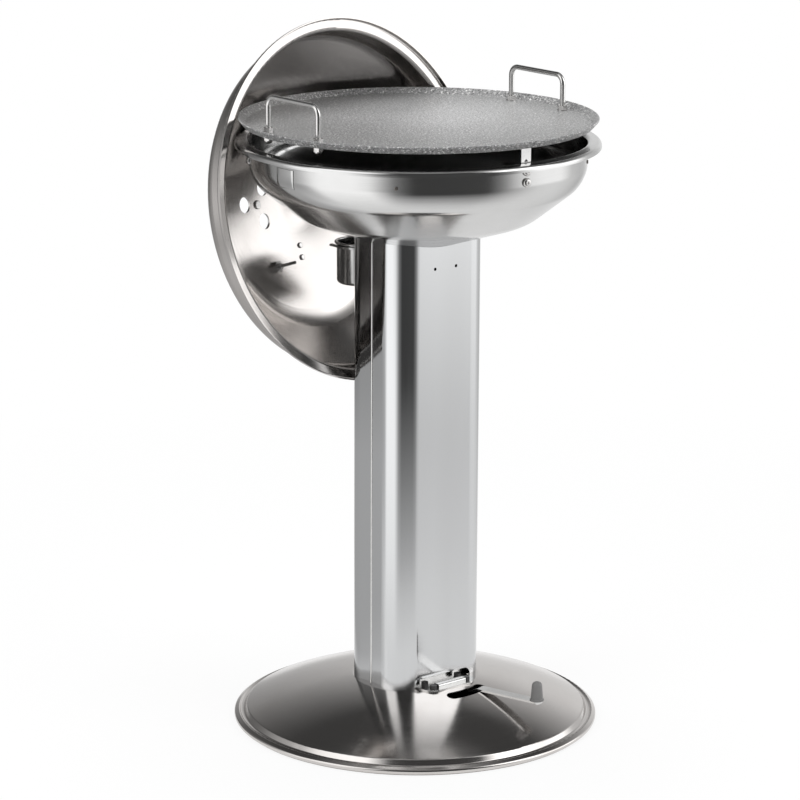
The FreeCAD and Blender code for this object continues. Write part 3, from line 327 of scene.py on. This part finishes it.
def between(tree, height, low, high):
    return spread(tree, height, math.radians(low), math.radians(high))


def tent_finish():
    """Studio walls as polished steel mirrors them: bright left, right and behind, dark overhead."""
    finish, tree, out = bare_finish("studio_tent")
    glow = tree.nodes.new("ShaderNodeEmission")
    apart = split_up(tree, unit_of(tree, camera_side_place(tree)))
    towards = worked_out(tree, "MULTIPLY", apart["Y"], -1.0)
    bearing = worked_out(tree, "ARCTAN2", apart["X"], towards)
    height = worked_out(tree, "ARCSINE", apart["Z"])
    low_walls = round_levels(tree, bearing, low_wall_levels)
    high_walls = round_levels(tree, bearing, high_wall_levels)
    ceiling = grey(ceiling_level / tent_strength)
    overhead = grey(overhead_level / tent_strength)
    level = blended(tree, between(tree, height, *low_to_high_wall), low_walls, high_walls)
    level = blended(tree, between(tree, height, *wall_to_ceiling), level, ceiling)
    level = blended(tree, between(tree, height, *ceiling_to_overhead), level, overhead)
    panels = round_levels(tree, bearing, high_panel_levels)
    there = worked_out(tree, "GREATER_THAN", panels, least_panel_level)
    band = worked_out(tree, "MULTIPLY", between(tree, height, *panel_rise),
                      between(tree, height, *panel_fall))
    level = blended(tree, worked_out(tree, "MULTIPLY", band, there), level, panels)
    tree.links.new(level, glow.inputs["Color"])
    glow.inputs["Strength"].default_value = tent_strength
    tree.links.new(glow.outputs[0], out)
    return finish


def raise_tent():
    bpy.ops.mesh.primitive_uv_sphere_add(segments=tent_segments, ring_count=tent_rings, radius=tent_radius)
    tent = bpy.context.object
    tent.name = "studio_tent"
    tent.data.materials.append(tent_finish())
    tent.visible_camera = False
    tent.visible_diffuse = False
    tent.visible_shadow = False
    tent.visible_volume_scatter = False


def hang_lamp(name, aside, towards, height, size, power):
    data = bpy.data.lights.new(name, "AREA")
    data.size = size
    data.energy = power
    lamp = bpy.data.objects.new(name, data)
    lamp.location = RIGHT * aside - AWAY * towards + UP * height
    aim = lamp_aim - lamp.location
    lamp.rotation_euler = aim.to_track_quat("-Z", "Y").to_euler()
    lamp.visible_glossy = False
    lamp.visible_transmission = False
    scene.collection.objects.link(lamp)


# Effects that several finishes share

cloud_scale = 7.0
cloud_detail = (4.0, 0.55)
cloud_span = (0.35, 0.68)
line_scale = 240.0
line_detail = (3.0, 0.6)
line_span = (0.3, 0.7)
ring_scale = 700.0
ring_detail = 3.0


def new_group(name, line_label, scale):
    """A group that takes a place and two scales, and gives soft clouds and fine lines."""
    group = bpy.data.node_groups.new(name, "ShaderNodeTree")
    sockets = group.interface
    sockets.new_socket("Place", in_out="INPUT", socket_type="NodeSocketVector")
    for label, value in (("Cloud Scale", cloud_scale), (line_label, scale)):
        sockets.new_socket(label, in_out="INPUT", socket_type="NodeSocketFloat").default_value = value
    for label in ("Cloud", "Line"):
        sockets.new_socket(label, in_out="OUTPUT", socket_type="NodeSocketFloat")
    take = group.nodes.new("NodeGroupInput").outputs
    give = group.nodes.new("NodeGroupOutput").inputs
    cloud = noise(group, take["Place"], take["Cloud Scale"], *cloud_detail)
    group.links.new(spread(group, cloud, *cloud_span), give["Cloud"])
    return group, take, give


def build_sheet_marks():
    """Marks of handled sheet steel: soft clouds and fine rub lines."""
    group, take, give = new_group("sheet_marks", "Line Scale", line_scale)
    line = noise(group, take["Place"], take["Line Scale"], *line_detail)
    group.links.new(spread(group, line, *line_span), give["Line"])
    return group


def build_ring_marks():
    """Marks of a spun sheet polished on a lathe: soft clouds and fine rings about its axis."""
    group, take, give = new_group("ring_marks", "Ring Scale", ring_scale)
    apart = split_up(group, take["Place"])
    flat = group.nodes.new("ShaderNodeCombineXYZ")
    group.links.new(apart["X"], flat.inputs["X"])
    group.links.new(apart["Y"], flat.inputs["Y"])
    reach = length_of(group, flat.outputs[0])
    around = split_up(group, unit_of(group, flat.outputs[0]))
    ring = group.nodes.new("ShaderNodeCombineXYZ")
    group.links.new(worked_out(group, "MULTIPLY", reach, take["Ring Scale"]), ring.inputs["X"])
    group.links.new(worked_out(group, "MULTIPLY", apart["Z"], take["Ring Scale"]), ring.inputs["Y"])
    group.links.new(around["X"], ring.inputs["Z"])
    line = group.nodes.new("ShaderNodeTexNoise")
    line.noise_dimensions = "4D"
    group.links.new(ring.outputs[0], line.inputs["Vector"])
    group.links.new(around["Y"], line.inputs["W"])
    line.inputs["Scale"].default_value = 1.0
    line.inputs["Detail"].default_value = ring_detail
    group.links.new(spread(group, line.outputs["Fac"], *line_span), give["Line"])
    return group


sheet_marks = build_sheet_marks()
ring_marks = build_ring_marks()

# Finishes: tones as light and dark, gloss as the least and the most roughness

fine_groove = 0.00001
mark_share = 0.5
patch_scale = 30.0
patch_detail = 4.0
grain_span = (0.3, 0.7)


def new_finish(name):
    finish = bpy.data.materials.new(name)
    finish.use_nodes = True
    return finish, finish.node_tree, finish.node_tree.nodes["Principled BSDF"].inputs


def bump_into(tree, surface, height, distance):
    bump = tree.nodes.new("ShaderNodeBump")
    bump.inputs["Distance"].default_value = distance
    tree.links.new(height, bump.inputs["Height"])
    tree.links.new(bump.outputs["Normal"], surface["Normal"])


def marked_steel(name, group, place, tones, gloss, scales, groove):
    """Bare steel: tone and gloss vary with its marks, and the lines are cut a hair deep."""
    finish, tree, surface = new_finish(name)
    marks = tree.nodes.new("ShaderNodeGroup")
    marks.node_tree = group
    feed(tree, marks.inputs["Place"], object_place(tree, **place))
    marks.inputs[1].default_value, marks.inputs[2].default_value = scales
    bright, dull = tones
    tone = blended(tree, marks.outputs["Cloud"], (*bright, 1), (*dull, 1))
    tree.links.new(tone, surface["Base Color"])
    shares = [worked_out(tree, "MULTIPLY", marks.outputs[label], mark_share) for label in ("Cloud", "Line")]
    tree.links.new(spread(tree, worked_out(tree, "ADD", *shares), 0, 1, *gloss), surface["Roughness"])
    surface["Metallic"].default_value = 1
    bump_into(tree, surface, marks.outputs["Line"], groove)
    return finish


def spun_steel(name, tones, gloss, place=None):
    return marked_steel(name, ring_marks, place or {}, tones, gloss, (cloud_scale, ring_scale), fine_groove)


def rubbed_steel(name, tones, gloss, groove=fine_groove, stretch=(1, 1, 1), cloud=cloud_scale,
                 line=line_scale):
    return marked_steel(name, sheet_marks, {"stretch": stretch}, tones, gloss, (cloud, line), groove)


def plain_coat(name, tones, gloss, grain, depth):
    """Rubber, moulded grip or paint: two close tones and a fine grain."""
    finish, tree, surface = new_finish(name)
    place = object_place(tree)
    light, dark = tones
    patch = noise(tree, place, patch_scale, patch_detail)
    fine = noise(tree, place, grain)
    tree.links.new(blended(tree, patch, (*light, 1), (*dark, 1)), surface["Base Color"])
    tree.links.new(spread(tree, fine, *grain_span, *gloss), surface["Roughness"])
    bump_into(tree, surface, fine, depth)
    return finish


coat_tone = grey(0.19)
# Painted highlight: a paler tone laid on a cloudy patch right of the griddle's middle
painted_sheen_tone = (0.38, 0.38, 0.382, 1)
edge_tone = grey(0.45)
pale_speck_tone = (0.7, 0.7, 0.69, 1)
dark_speck_tone = (0.06, 0.06, 0.062, 1)
pale_speck_scale = 290.0
pale_speck_span = (0.55, 0.62)
dark_speck_scale = 340.0
dark_speck_span = (0.54, 0.61)
speck_detail = (3.0, 0.7)
# Spot, reach and cloud of the painted highlight patch on the griddle
painted_sheen_spot = (-0.07, -0.02, -0.93)
painted_sheen_reach = (0.04, 0.24)
painted_sheen_cloud_scale = 9.0
painted_sheen_cloud_detail = 3.0
painted_sheen_cloud_share = (-0.15, 0.15)
pale_edge = (0.272, 0.279)
pale_edge_share = 0.7
coat_grain_scale = 700.0
coat_grain_depth = 0.0003
coat_gloss = (0.24, 0.42)
coat_shine = 0.8


def granite_coat():
    """Speckled non-stick coat on the griddle, with a painted highlight as a paler cloudy patch right of its
    middle, and paler at its edge.
    """
    finish, tree, surface = new_finish("granite_coat")
    place = object_place(tree)
    pale = spread(tree, noise(tree, place, pale_speck_scale, *speck_detail), *pale_speck_span)
    dark = spread(tree, noise(tree, place, dark_speck_scale, *speck_detail), *dark_speck_span)
    from_axis = length_of(tree, object_place(tree, stretch=(1, 1, 0)))
    edge = spread(tree, from_axis, *pale_edge, 0.0, pale_edge_share)
    # Painted highlight: paler towards a spot right of the middle, broken up by a cloud
    from_spot = length_of(tree, object_place(tree, shift=painted_sheen_spot))
    painted_sheen = spread(tree, from_spot, *painted_sheen_reach, 1.0, 0.0)
    cloud = noise(tree, place, painted_sheen_cloud_scale, painted_sheen_cloud_detail)
    painted_sheen = worked_out(tree, "ADD", painted_sheen, spread(tree, cloud, *grain_span, *painted_sheen_cloud_share))
    body = blended(tree, painted_sheen, coat_tone, painted_sheen_tone)
    body = blended(tree, pale, body, pale_speck_tone)
    body = blended(tree, dark, body, dark_speck_tone)
    body = blended(tree, edge, body, edge_tone)
    tree.links.new(body, surface["Base Color"])
    fine = noise(tree, place, coat_grain_scale)
    tree.links.new(spread(tree, fine, *grain_span, *coat_gloss), surface["Roughness"])
    surface["Specular IOR Level"].default_value = coat_shine
    bump_into(tree, surface, fine, coat_grain_depth)
    return finish


glass_index = 1.45
smear_scale = 90.0
smear_detail = 3.0
smear_span = (0.4, 0.7)
smear_gloss = (0.01, 0.06)


def clear_glass():
    finish, tree, surface = new_finish("gauge_glass")
    surface["Base Color"].default_value = grey(1)
    surface["Transmission Weight"].default_value = 1
    surface["IOR"].default_value = glass_index
    smear = noise(tree, object_place(tree), smear_scale, smear_detail)
    tree.links.new(spread(tree, smear, *smear_span, *smear_gloss), surface["Roughness"])
    return finish


neutral_tones = ((0.625, 0.625, 0.622), (0.585, 0.583, 0.578))
cool_tones = ((0.614, 0.621, 0.627), (0.574, 0.579, 0.584))
warm_tones = ((0.625, 0.603, 0.586), (0.58, 0.553, 0.535))
satin_tones = ((0.66, 0.658, 0.652), (0.6, 0.597, 0.59))
fastener_tones = ((0.66, 0.65, 0.64), (0.56, 0.55, 0.54))
wire_tones = ((0.72, 0.715, 0.705), (0.64, 0.632, 0.62))
dark_tones = ((0.3, 0.28, 0.26), (0.2, 0.18, 0.17))
black_tones = ((0.02, 0.02, 0.021), (0.035, 0.034, 0.033))
rubber_tones = ((0.15, 0.148, 0.147), (0.19, 0.187, 0.185))
grip_tones = ((0.018, 0.018, 0.019), (0.03, 0.03, 0.031))
dial_tones = ((0.82, 0.82, 0.8), (0.77, 0.77, 0.75))
needle_tones = ((0.5, 0.02, 0.015), (0.42, 0.015, 0.012))
lid_place = {"kind": "TEXTURE", "shift": LID_FRAME.to_translation(), "turn": LID_FRAME.to_euler()}
along_the_column = (1, 1, 0.03)

finishes = {
    "polished_steel": spun_steel("base_steel", warm_tones, gloss=(0.1, 0.2)),
    "lid_steel": spun_steel("lid_steel", warm_tones, gloss=(0.15, 0.25), place=lid_place),
    "bowl_steel": spun_steel("bowl_steel", neutral_tones, gloss=(0.1, 0.19)),
    "column_steel": rubbed_steel("column_steel", cool_tones, gloss=(0.06, 0.14), groove=0.000004,
                                 stretch=along_the_column),
    "satin_steel": rubbed_steel("satin_steel", satin_tones, gloss=(0.16, 0.3), cloud=30.0, line=500.0),
    "bright_fastener": rubbed_steel("bright_fastener", fastener_tones, gloss=(0.14, 0.3), cloud=160.0,
                                    line=900.0),
    "wire_steel": rubbed_steel("wire_steel", wire_tones, gloss=(0.12, 0.24), cloud=60.0, line=700.0),
    "black_fastener": plain_coat("black_fastener", black_tones, gloss=(0.3, 0.5), grain=900.0,
                                 depth=0.00005),
    "granite_coat": granite_coat(),
    "dark_steel": rubbed_steel("dark_steel", dark_tones, gloss=(0.2, 0.4), groove=0.00002, cloud=40.0),
    "grey_rubber": plain_coat("grey_rubber", rubber_tones, gloss=(0.4, 0.6), grain=800.0, depth=0.0001),
    "black_grip": plain_coat("black_grip", grip_tones, gloss=(0.35, 0.55), grain=700.0, depth=0.0001),
    "dial_face": plain_coat("dial_face", dial_tones, gloss=(0.4, 0.55), grain=500.0, depth=0.00002),
    "needle_paint": plain_coat("needle_paint", needle_tones, gloss=(0.35, 0.5), grain=500.0, depth=0.00002),
    "gauge_glass": clear_glass(),
}
own_finish = {
    "lid_dome": "lid_steel",
    "bowl": "bowl_steel",
    "column_front_shell": "column_steel",
    "column_rear_shell": "column_steel",
    "seam_strip_left": "column_steel",
    "seam_strip_right": "column_steel",
    "grid_studs": "dark_steel",
}


def dress_nodes():
    for part in frame["record"]["subparts"]:
        piece = nodes[part["node"]]
        piece.data.materials.clear()
        piece.data.materials.append(finishes[own_finish.get(part["node"], part["material_slot"])])


# Modelling helpers

# A face is square on to a direction above this cosine, and edges under this angle are shaded smooth
square_on = 0.9
smooth_below = math.radians(35)


def begin(name):
    """Names the primitive just added and opens it for editing."""
    piece = bpy.context.object
    piece.name = name
    piece.data.name = name
    bpy.ops.object.mode_set(mode="EDIT")
    return piece


def pick(piece, kind, wanted):
    """Selects the vertices or faces for which the test holds."""
    bpy.ops.mesh.select_mode(type=kind)
    bpy.ops.mesh.select_all(action="DESELECT")
    mesh = bmesh.from_edit_mesh(piece.data)
    for item in mesh.verts if kind == "VERT" else mesh.faces:
        item.select = wanted(item)
    mesh.select_flush_mode()
    bmesh.update_edit_mesh(piece.data)


def finish_editing():
    bpy.ops.object.mode_set(mode="OBJECT")


def use_modifier(piece, kind, **settings):
    """Adds a modifier, applies it at once and leaves none live."""
    bpy.context.view_layer.objects.active = piece
    modifier = piece.modifiers.new(kind.lower(), kind)
    for label, value in settings.items():
        setattr(modifier, label, value)
    bpy.ops.object.modifier_apply(modifier=modifier.name)


def cut_away(piece, cutter):
    use_modifier(piece, "BOOLEAN", operation="DIFFERENCE", object=cutter, solver="EXACT")
    bpy.data.objects.remove(cutter)


def mount(piece, body, finish, replaced=None):
    """Settles a finished piece: its place goes into its mesh, and it rides on its body."""
    bpy.ops.object.select_all(action="DESELECT")
    piece.select_set(True)
    bpy.context.view_layer.objects.active = piece
    bpy.ops.object.transform_apply(location=True, rotation=True, scale=True)
    piece.data.materials.clear()
    piece.data.materials.append(finish)
    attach(piece, body)
    if replaced:
        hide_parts(replaced)


def joined(pieces, name):
    bpy.context.view_layer.update()
    bpy.ops.object.select_all(action="DESELECT")
    for piece in pieces:
        piece.select_set(True)
    bpy.context.view_layer.objects.active = pieces[0]
    bpy.ops.object.join()
    pieces[0].name = name
    pieces[0].data.name = name
    return pieces[0]


def copy_at(piece, place):
    copy = piece.copy()
    copy.data = piece.data.copy()
    copy.matrix_world = place
    scene.collection.objects.link(copy)
    return copy


def turned_to(direction):
    """Turns a piece that stands upright to stand along a direction."""
    return UP.rotation_difference(direction).to_matrix().to_4x4()


# Fire bowl, spun from one sheet: its underside from the middle out to the turned-down rim

wall_radius = 0.256
lip_radius = 0.2755
bowl_floor = 0.759
bowl_outline = [(0.04, bowl_floor), (0.062, bowl_floor), (0.177, 0.79548), (wall_radius, 0.8572),
                (wall_radius, 0.9153), (lip_radius, 0.9133), (lip_radius, 0.9063)]
bowl_bends = [0.028, 0.062, 0.05, 0.005, 0.005]
bowl_sheet = 0.0015
bowl_steps = 192
bend_segments = 12
start_size = 0.02
same_spot = 1e-5
merge_reach = 1e-6
wall_straight = (0.858, 0.911)
drain_place = (0, 0.145, 0.79)
drain_radius = 0.004
drain_sides = 32
drain_cut = 0.1
badge_bearing = math.radians(-179.3)
badge_width = 0.038
badge_half_angle = badge_width / 2 / wall_radius
badge_surround = 3 * badge_half_angle
badge_low = 0.86975
badge_high = 0.89825
badge_relief = 0.0012
badge_round = 0.0005
badge_round_segments = 2
badge_facing = 0.5


def spun_sheet(name, outline, bends, sheet, steps):
    """Draws a sheet's outline point by point, rounds its corners, spins it and gives it its thickness."""
    bpy.ops.mesh.primitive_plane_add(size=start_size)
    piece = begin(name)
    bpy.ops.mesh.select_all(action="SELECT")
    bpy.ops.mesh.merge(type="CENTER")
    bpy.ops.transform.translate(value=(outline[0][0], 0, outline[0][1]))
    for start, end in zip(outline, outline[1:]):
        step = (end[0] - start[0], 0, end[1] - start[1])
        bpy.ops.mesh.extrude_vertices_move(TRANSFORM_OT_translate={"value": step})
    for before, corner, after, bend in zip(outline, outline[1:], outline[2:], bends):
        spot = Vector((corner[0], 0, corner[1]))
        into = Vector((corner[0] - before[0], corner[1] - before[1]))
        out = Vector((after[0] - corner[0], after[1] - corner[1]))
        reach = bend * math.tan(into.angle(out) / 2)
        pick(piece, "VERT", lambda vertex: (vertex.co - spot).length < same_spot)
        bpy.ops.mesh.bevel(offset=reach, offset_type="OFFSET", segments=bend_segments, affect="VERTICES")
    bpy.ops.mesh.select_all(action="SELECT")
    bpy.ops.mesh.spin(steps=steps, angle=2 * math.pi, center=(0, 0, 0), axis=(0, 0, 1))
    bpy.ops.mesh.select_all(action="SELECT")
    bpy.ops.mesh.remove_doubles(threshold=merge_reach)
    bpy.ops.mesh.normals_make_consistent(inside=False)
    finish_editing()
    underside = min(piece.data.polygons, key=lambda face: face.center.z)
    if underside.normal.z > 0:
        bpy.ops.object.mode_set(mode="EDIT")
        bpy.ops.mesh.flip_normals()
        finish_editing()
    use_modifier(piece, "SOLIDIFY", thickness=sheet, offset=-1, use_even_offset=True)
    return piece


def raise_badge(piece):
    """Presses the plain panel out of the bowl's left wall."""
    outward = Vector((math.cos(badge_bearing), math.sin(badge_bearing), 0))

    def within(face, half_angle, low, high):
        spot = face.calc_center_median()
        bearing = outward.to_2d().angle_signed(spot.to_2d(), 0)
        return abs(bearing) < half_angle and low < spot.z < high

    def on_wall(face):
        return within(face, badge_surround, *wall_straight) and face.normal.dot(outward) > badge_facing

    def on_badge(face):
        return on_wall(face) and within(face, badge_half_angle, badge_low, badge_high)

    bpy.context.view_layer.objects.active = piece
    bpy.ops.object.mode_set(mode="EDIT")
    for side in (-1, 1):
        edge = Matrix.Rotation(side * badge_half_angle, 3, "Z") @ outward
        pick(piece, "FACE", on_wall)
        bpy.ops.mesh.bisect(plane_co=(0, 0, 0), plane_no=edge.cross(UP))
    for height in (badge_low, badge_high):
        pick(piece, "FACE", on_wall)
        bpy.ops.mesh.bisect(plane_co=(0, 0, height), plane_no=(0, 0, 1))
    pick(piece, "FACE", on_badge)
    bpy.ops.mesh.extrude_region_move(TRANSFORM_OT_translate={"value": outward * badge_relief})
    bpy.ops.mesh.region_to_loop()
    bpy.ops.mesh.bevel(offset=badge_round, segments=badge_round_segments, affect="EDGES")
    finish_editing()


def make_bowl():
    bowl = spun_sheet("bowl_shell", bowl_outline, bowl_bends, bowl_sheet, bowl_steps)
    raise_badge(bowl)
    bpy.ops.mesh.primitive_cylinder_add(vertices=drain_sides, radius=drain_radius, depth=drain_cut,
                                        location=drain_place)
    cut_away(bowl, bpy.context.object)
    mount(bowl, "stand", finishes["bowl_steel"], "bowl")
    bpy.ops.object.shade_smooth_by_angle(angle=smooth_below)


# Column seams: the front shell's edge shows as a fine bright line

seam_edge_radius = 0.0018
seam_edge_sides = 16
seam_edge_flatness = 0.7
seam_edge_end = 0.3 * seam_edge_radius
seam_edge_y = -0.0016
seam_low = 0.0685
seam_high = 0.767
seam_smooth_below = math.radians(40)
column_side = 0.0905


def make_seam_edges():
    for side, name in ((-1, "seam_edge_left"), (1, "seam_edge_right")):
        bpy.ops.mesh.primitive_cylinder_add(vertices=seam_edge_sides, radius=seam_edge_radius,
                                            depth=seam_high - seam_low)
        edge = begin(name)
        bpy.ops.mesh.select_all(action="SELECT")
        bpy.ops.transform.resize(value=(seam_edge_flatness, 1, 1))
        pick(edge, "FACE", lambda face: abs(face.normal.z) > square_on)
        bpy.ops.mesh.inset(thickness=seam_edge_end, depth=seam_edge_end)
        bpy.ops.mesh.select_all(action="SELECT")
        bpy.ops.transform.translate(value=(side * column_side, seam_edge_y, (seam_low + seam_high) / 2))
        finish_editing()
        mount(edge, "stand", finishes["wire_steel"])
        bpy.ops.object.shade_smooth_by_angle(angle=seam_smooth_below)


# Cross-head screws that hold the griddle brackets

bracket_bearings = (-1.7, -121.7, 118.3)
bracket_screw_heights = (0.8866, 0.9032)
screw_seat_radius = 0.2561
screw_head_radius = 0.007
screw_head_height = 0.0045
screw_head_round = 0.0034
screw_head_sides = 40
screw_round_segments = 7
screw_shank_radius = 0.003
screw_shank_length = 0.0108
screw_first_turn = 0.5
screw_turn_per_bracket = 0.8
screw_turn_per_metre = 40
recess_length = 0.0066
recess_width = 0.0014
recess_depth = 0.0024
recess_taper = (0.45, 0.8, 1)


def cross_screw(name):
    """Pan head with a cross recess, and its shank, standing on the head's underside at the origin."""
    bpy.ops.mesh.primitive_cylinder_add(vertices=screw_head_sides, radius=screw_head_radius,
                                        depth=screw_head_height, location=(0, 0, screw_head_height / 2))
    screw = begin(name)
    pick(screw, "FACE", lambda face: face.normal.z > square_on)
    bpy.ops.mesh.region_to_loop()
    bpy.ops.mesh.bevel(offset=screw_head_round, segments=screw_round_segments, affect="EDGES")
    pick(screw, "FACE", lambda face: face.normal.z < -square_on)
    bpy.ops.mesh.inset(thickness=screw_head_radius - screw_shank_radius)
    bpy.ops.mesh.extrude_region_move(TRANSFORM_OT_translate={"value": (0, 0, -screw_shank_length)})
    finish_editing()
    bpy.ops.object.transform_apply(location=True)
    for turn in (0, math.pi / 2):
        bpy.ops.mesh.primitive_cube_add(size=1, location=(0, 0, screw_head_height))
        slot = begin("recess")
        bpy.ops.mesh.select_all(action="SELECT")
        bpy.ops.transform.resize(value=(recess_length, recess_width, 2 * recess_depth))
        pick(slot, "FACE", lambda face: face.normal.z < -square_on)
        bpy.ops.transform.resize(value=recess_taper)
        finish_editing()
        slot.rotation_euler = (0, 0, turn)
        bpy.context.view_layer.update()
        cut_away(screw, slot)
    return screw


def make_bracket_screws():
    pattern = cross_screw("bracket_screw")
    screws = []
    for count, bearing in enumerate(bracket_bearings):
        angle = math.radians(bearing)
        outward = Vector((math.sin(angle), -math.cos(angle), 0))
        for height in bracket_screw_heights:
            place = Matrix.Translation(outward * screw_seat_radius + UP * height)
            turn = screw_first_turn + screw_turn_per_bracket * count + height * screw_turn_per_metre
            spin = Matrix.Rotation(turn, 4, "Z")
            screws.append(copy_at(pattern, place @ turned_to(outward) @ spin))
    bpy.data.objects.remove(pattern)
    screws = joined(screws, "bracket_cross_screws")
    mount(screws, "stand", finishes["bright_fastener"], "bracket_screws")
    bpy.ops.object.shade_smooth_by_angle(angle=smooth_below)


# Scale on the thermometer's dial, which sits on the lid's sloping crown

gauge_place = (0.0605, -0.0955)
crown_drop = 0.022
crown_run = 0.149
crown_slope = crown_drop / crown_run
crown_depth = 0.1395
crown_radius = 0.031
dial_top = 0.004
mark_height = 0.00008
mark_middle = dial_top + mark_height / 2
scale_sweep = math.radians(250)
scale_top = 300
scale_step = 10
label_step = 50
tick_outer_radius = 0.0236
tick_length = 0.0017
tick_width = 0.0004
tick_taper = 0.6
long_tick_length = 0.003
long_tick_width = 1.6 * tick_width
label_radius = 0.0166
label_size = 0.0038


def gauge_frame():
    """The gauge's own frame: its middle on the crown, its axis square to the slope."""
    reach = math.hypot(*gauge_place)
    normal = Vector((crown_slope * gauge_place[0] / reach, crown_slope * gauge_place[1] / reach, 1))
    height = crown_depth - crown_slope * (reach - crown_radius)
    spot = Matrix.Translation((*gauge_place, height))
    return LID_FRAME @ spot @ turned_to(normal)


def scale_angle(value):
    """Bearing on the dial where the needle points at a value: it starts at rest and turns clockwise."""
    return math.pi / 2 - scale_sweep * value / scale_top


def dial_tick(value, length, width):
    bpy.ops.mesh.primitive_cube_add(size=1)
    tick = begin("tick")
    bpy.ops.mesh.select_all(action="SELECT")
    bpy.ops.transform.resize(value=(length, width, mark_height))
    bpy.ops.transform.translate(value=(tick_outer_radius - length / 2, 0, mark_middle))
    pick(tick, "FACE", lambda face: face.normal.x < -square_on)
    bpy.ops.transform.resize(value=(1, tick_taper, 1))
    finish_editing()
    tick.rotation_euler = (0, 0, scale_angle(value))
    return tick


def dial_label(value):
    bpy.ops.object.text_add()
    label = bpy.context.object
    label.data.body = str(value)
    label.data.size = label_size
    label.data.align_x = "CENTER"
    label.data.align_y = "CENTER"
    label.data.extrude = mark_height / 2
    bpy.ops.object.convert(target="MESH")
    label = bpy.context.object
    angle = scale_angle(value)
    upright = scale_angle(scale_top / 2) - math.pi / 2
    spot = (label_radius * math.cos(angle), label_radius * math.sin(angle), mark_middle)
    label.matrix_world = Matrix.Translation(spot) @ Matrix.Rotation(upright, 4, "Z")
    return label


def make_dial_marks():
    marks = []
    for value in range(0, scale_top + 1, scale_step):
        bpy.ops.object.select_all(action="DESELECT")
        if value % label_step == 0:
            marks.append(dial_tick(value, long_tick_length, long_tick_width))
            bpy.ops.object.select_all(action="DESELECT")
            marks.append(dial_label(value))
        else:
            marks.append(dial_tick(value, tick_length, tick_width))
    marks = joined(marks, "dial_marks")
    bpy.ops.object.transform_apply(location=True, rotation=True, scale=True)
    marks.matrix_world = gauge_frame()
    mount(marks, "lid", finishes["black_grip"])


set_camera()
set_world()
lay_floor()
raise_tent()
for lamp in lamps:
    hang_lamp(*lamp)
dress_nodes()
make_bowl()
make_seam_edges()
make_bracket_screws()
make_dial_marks()
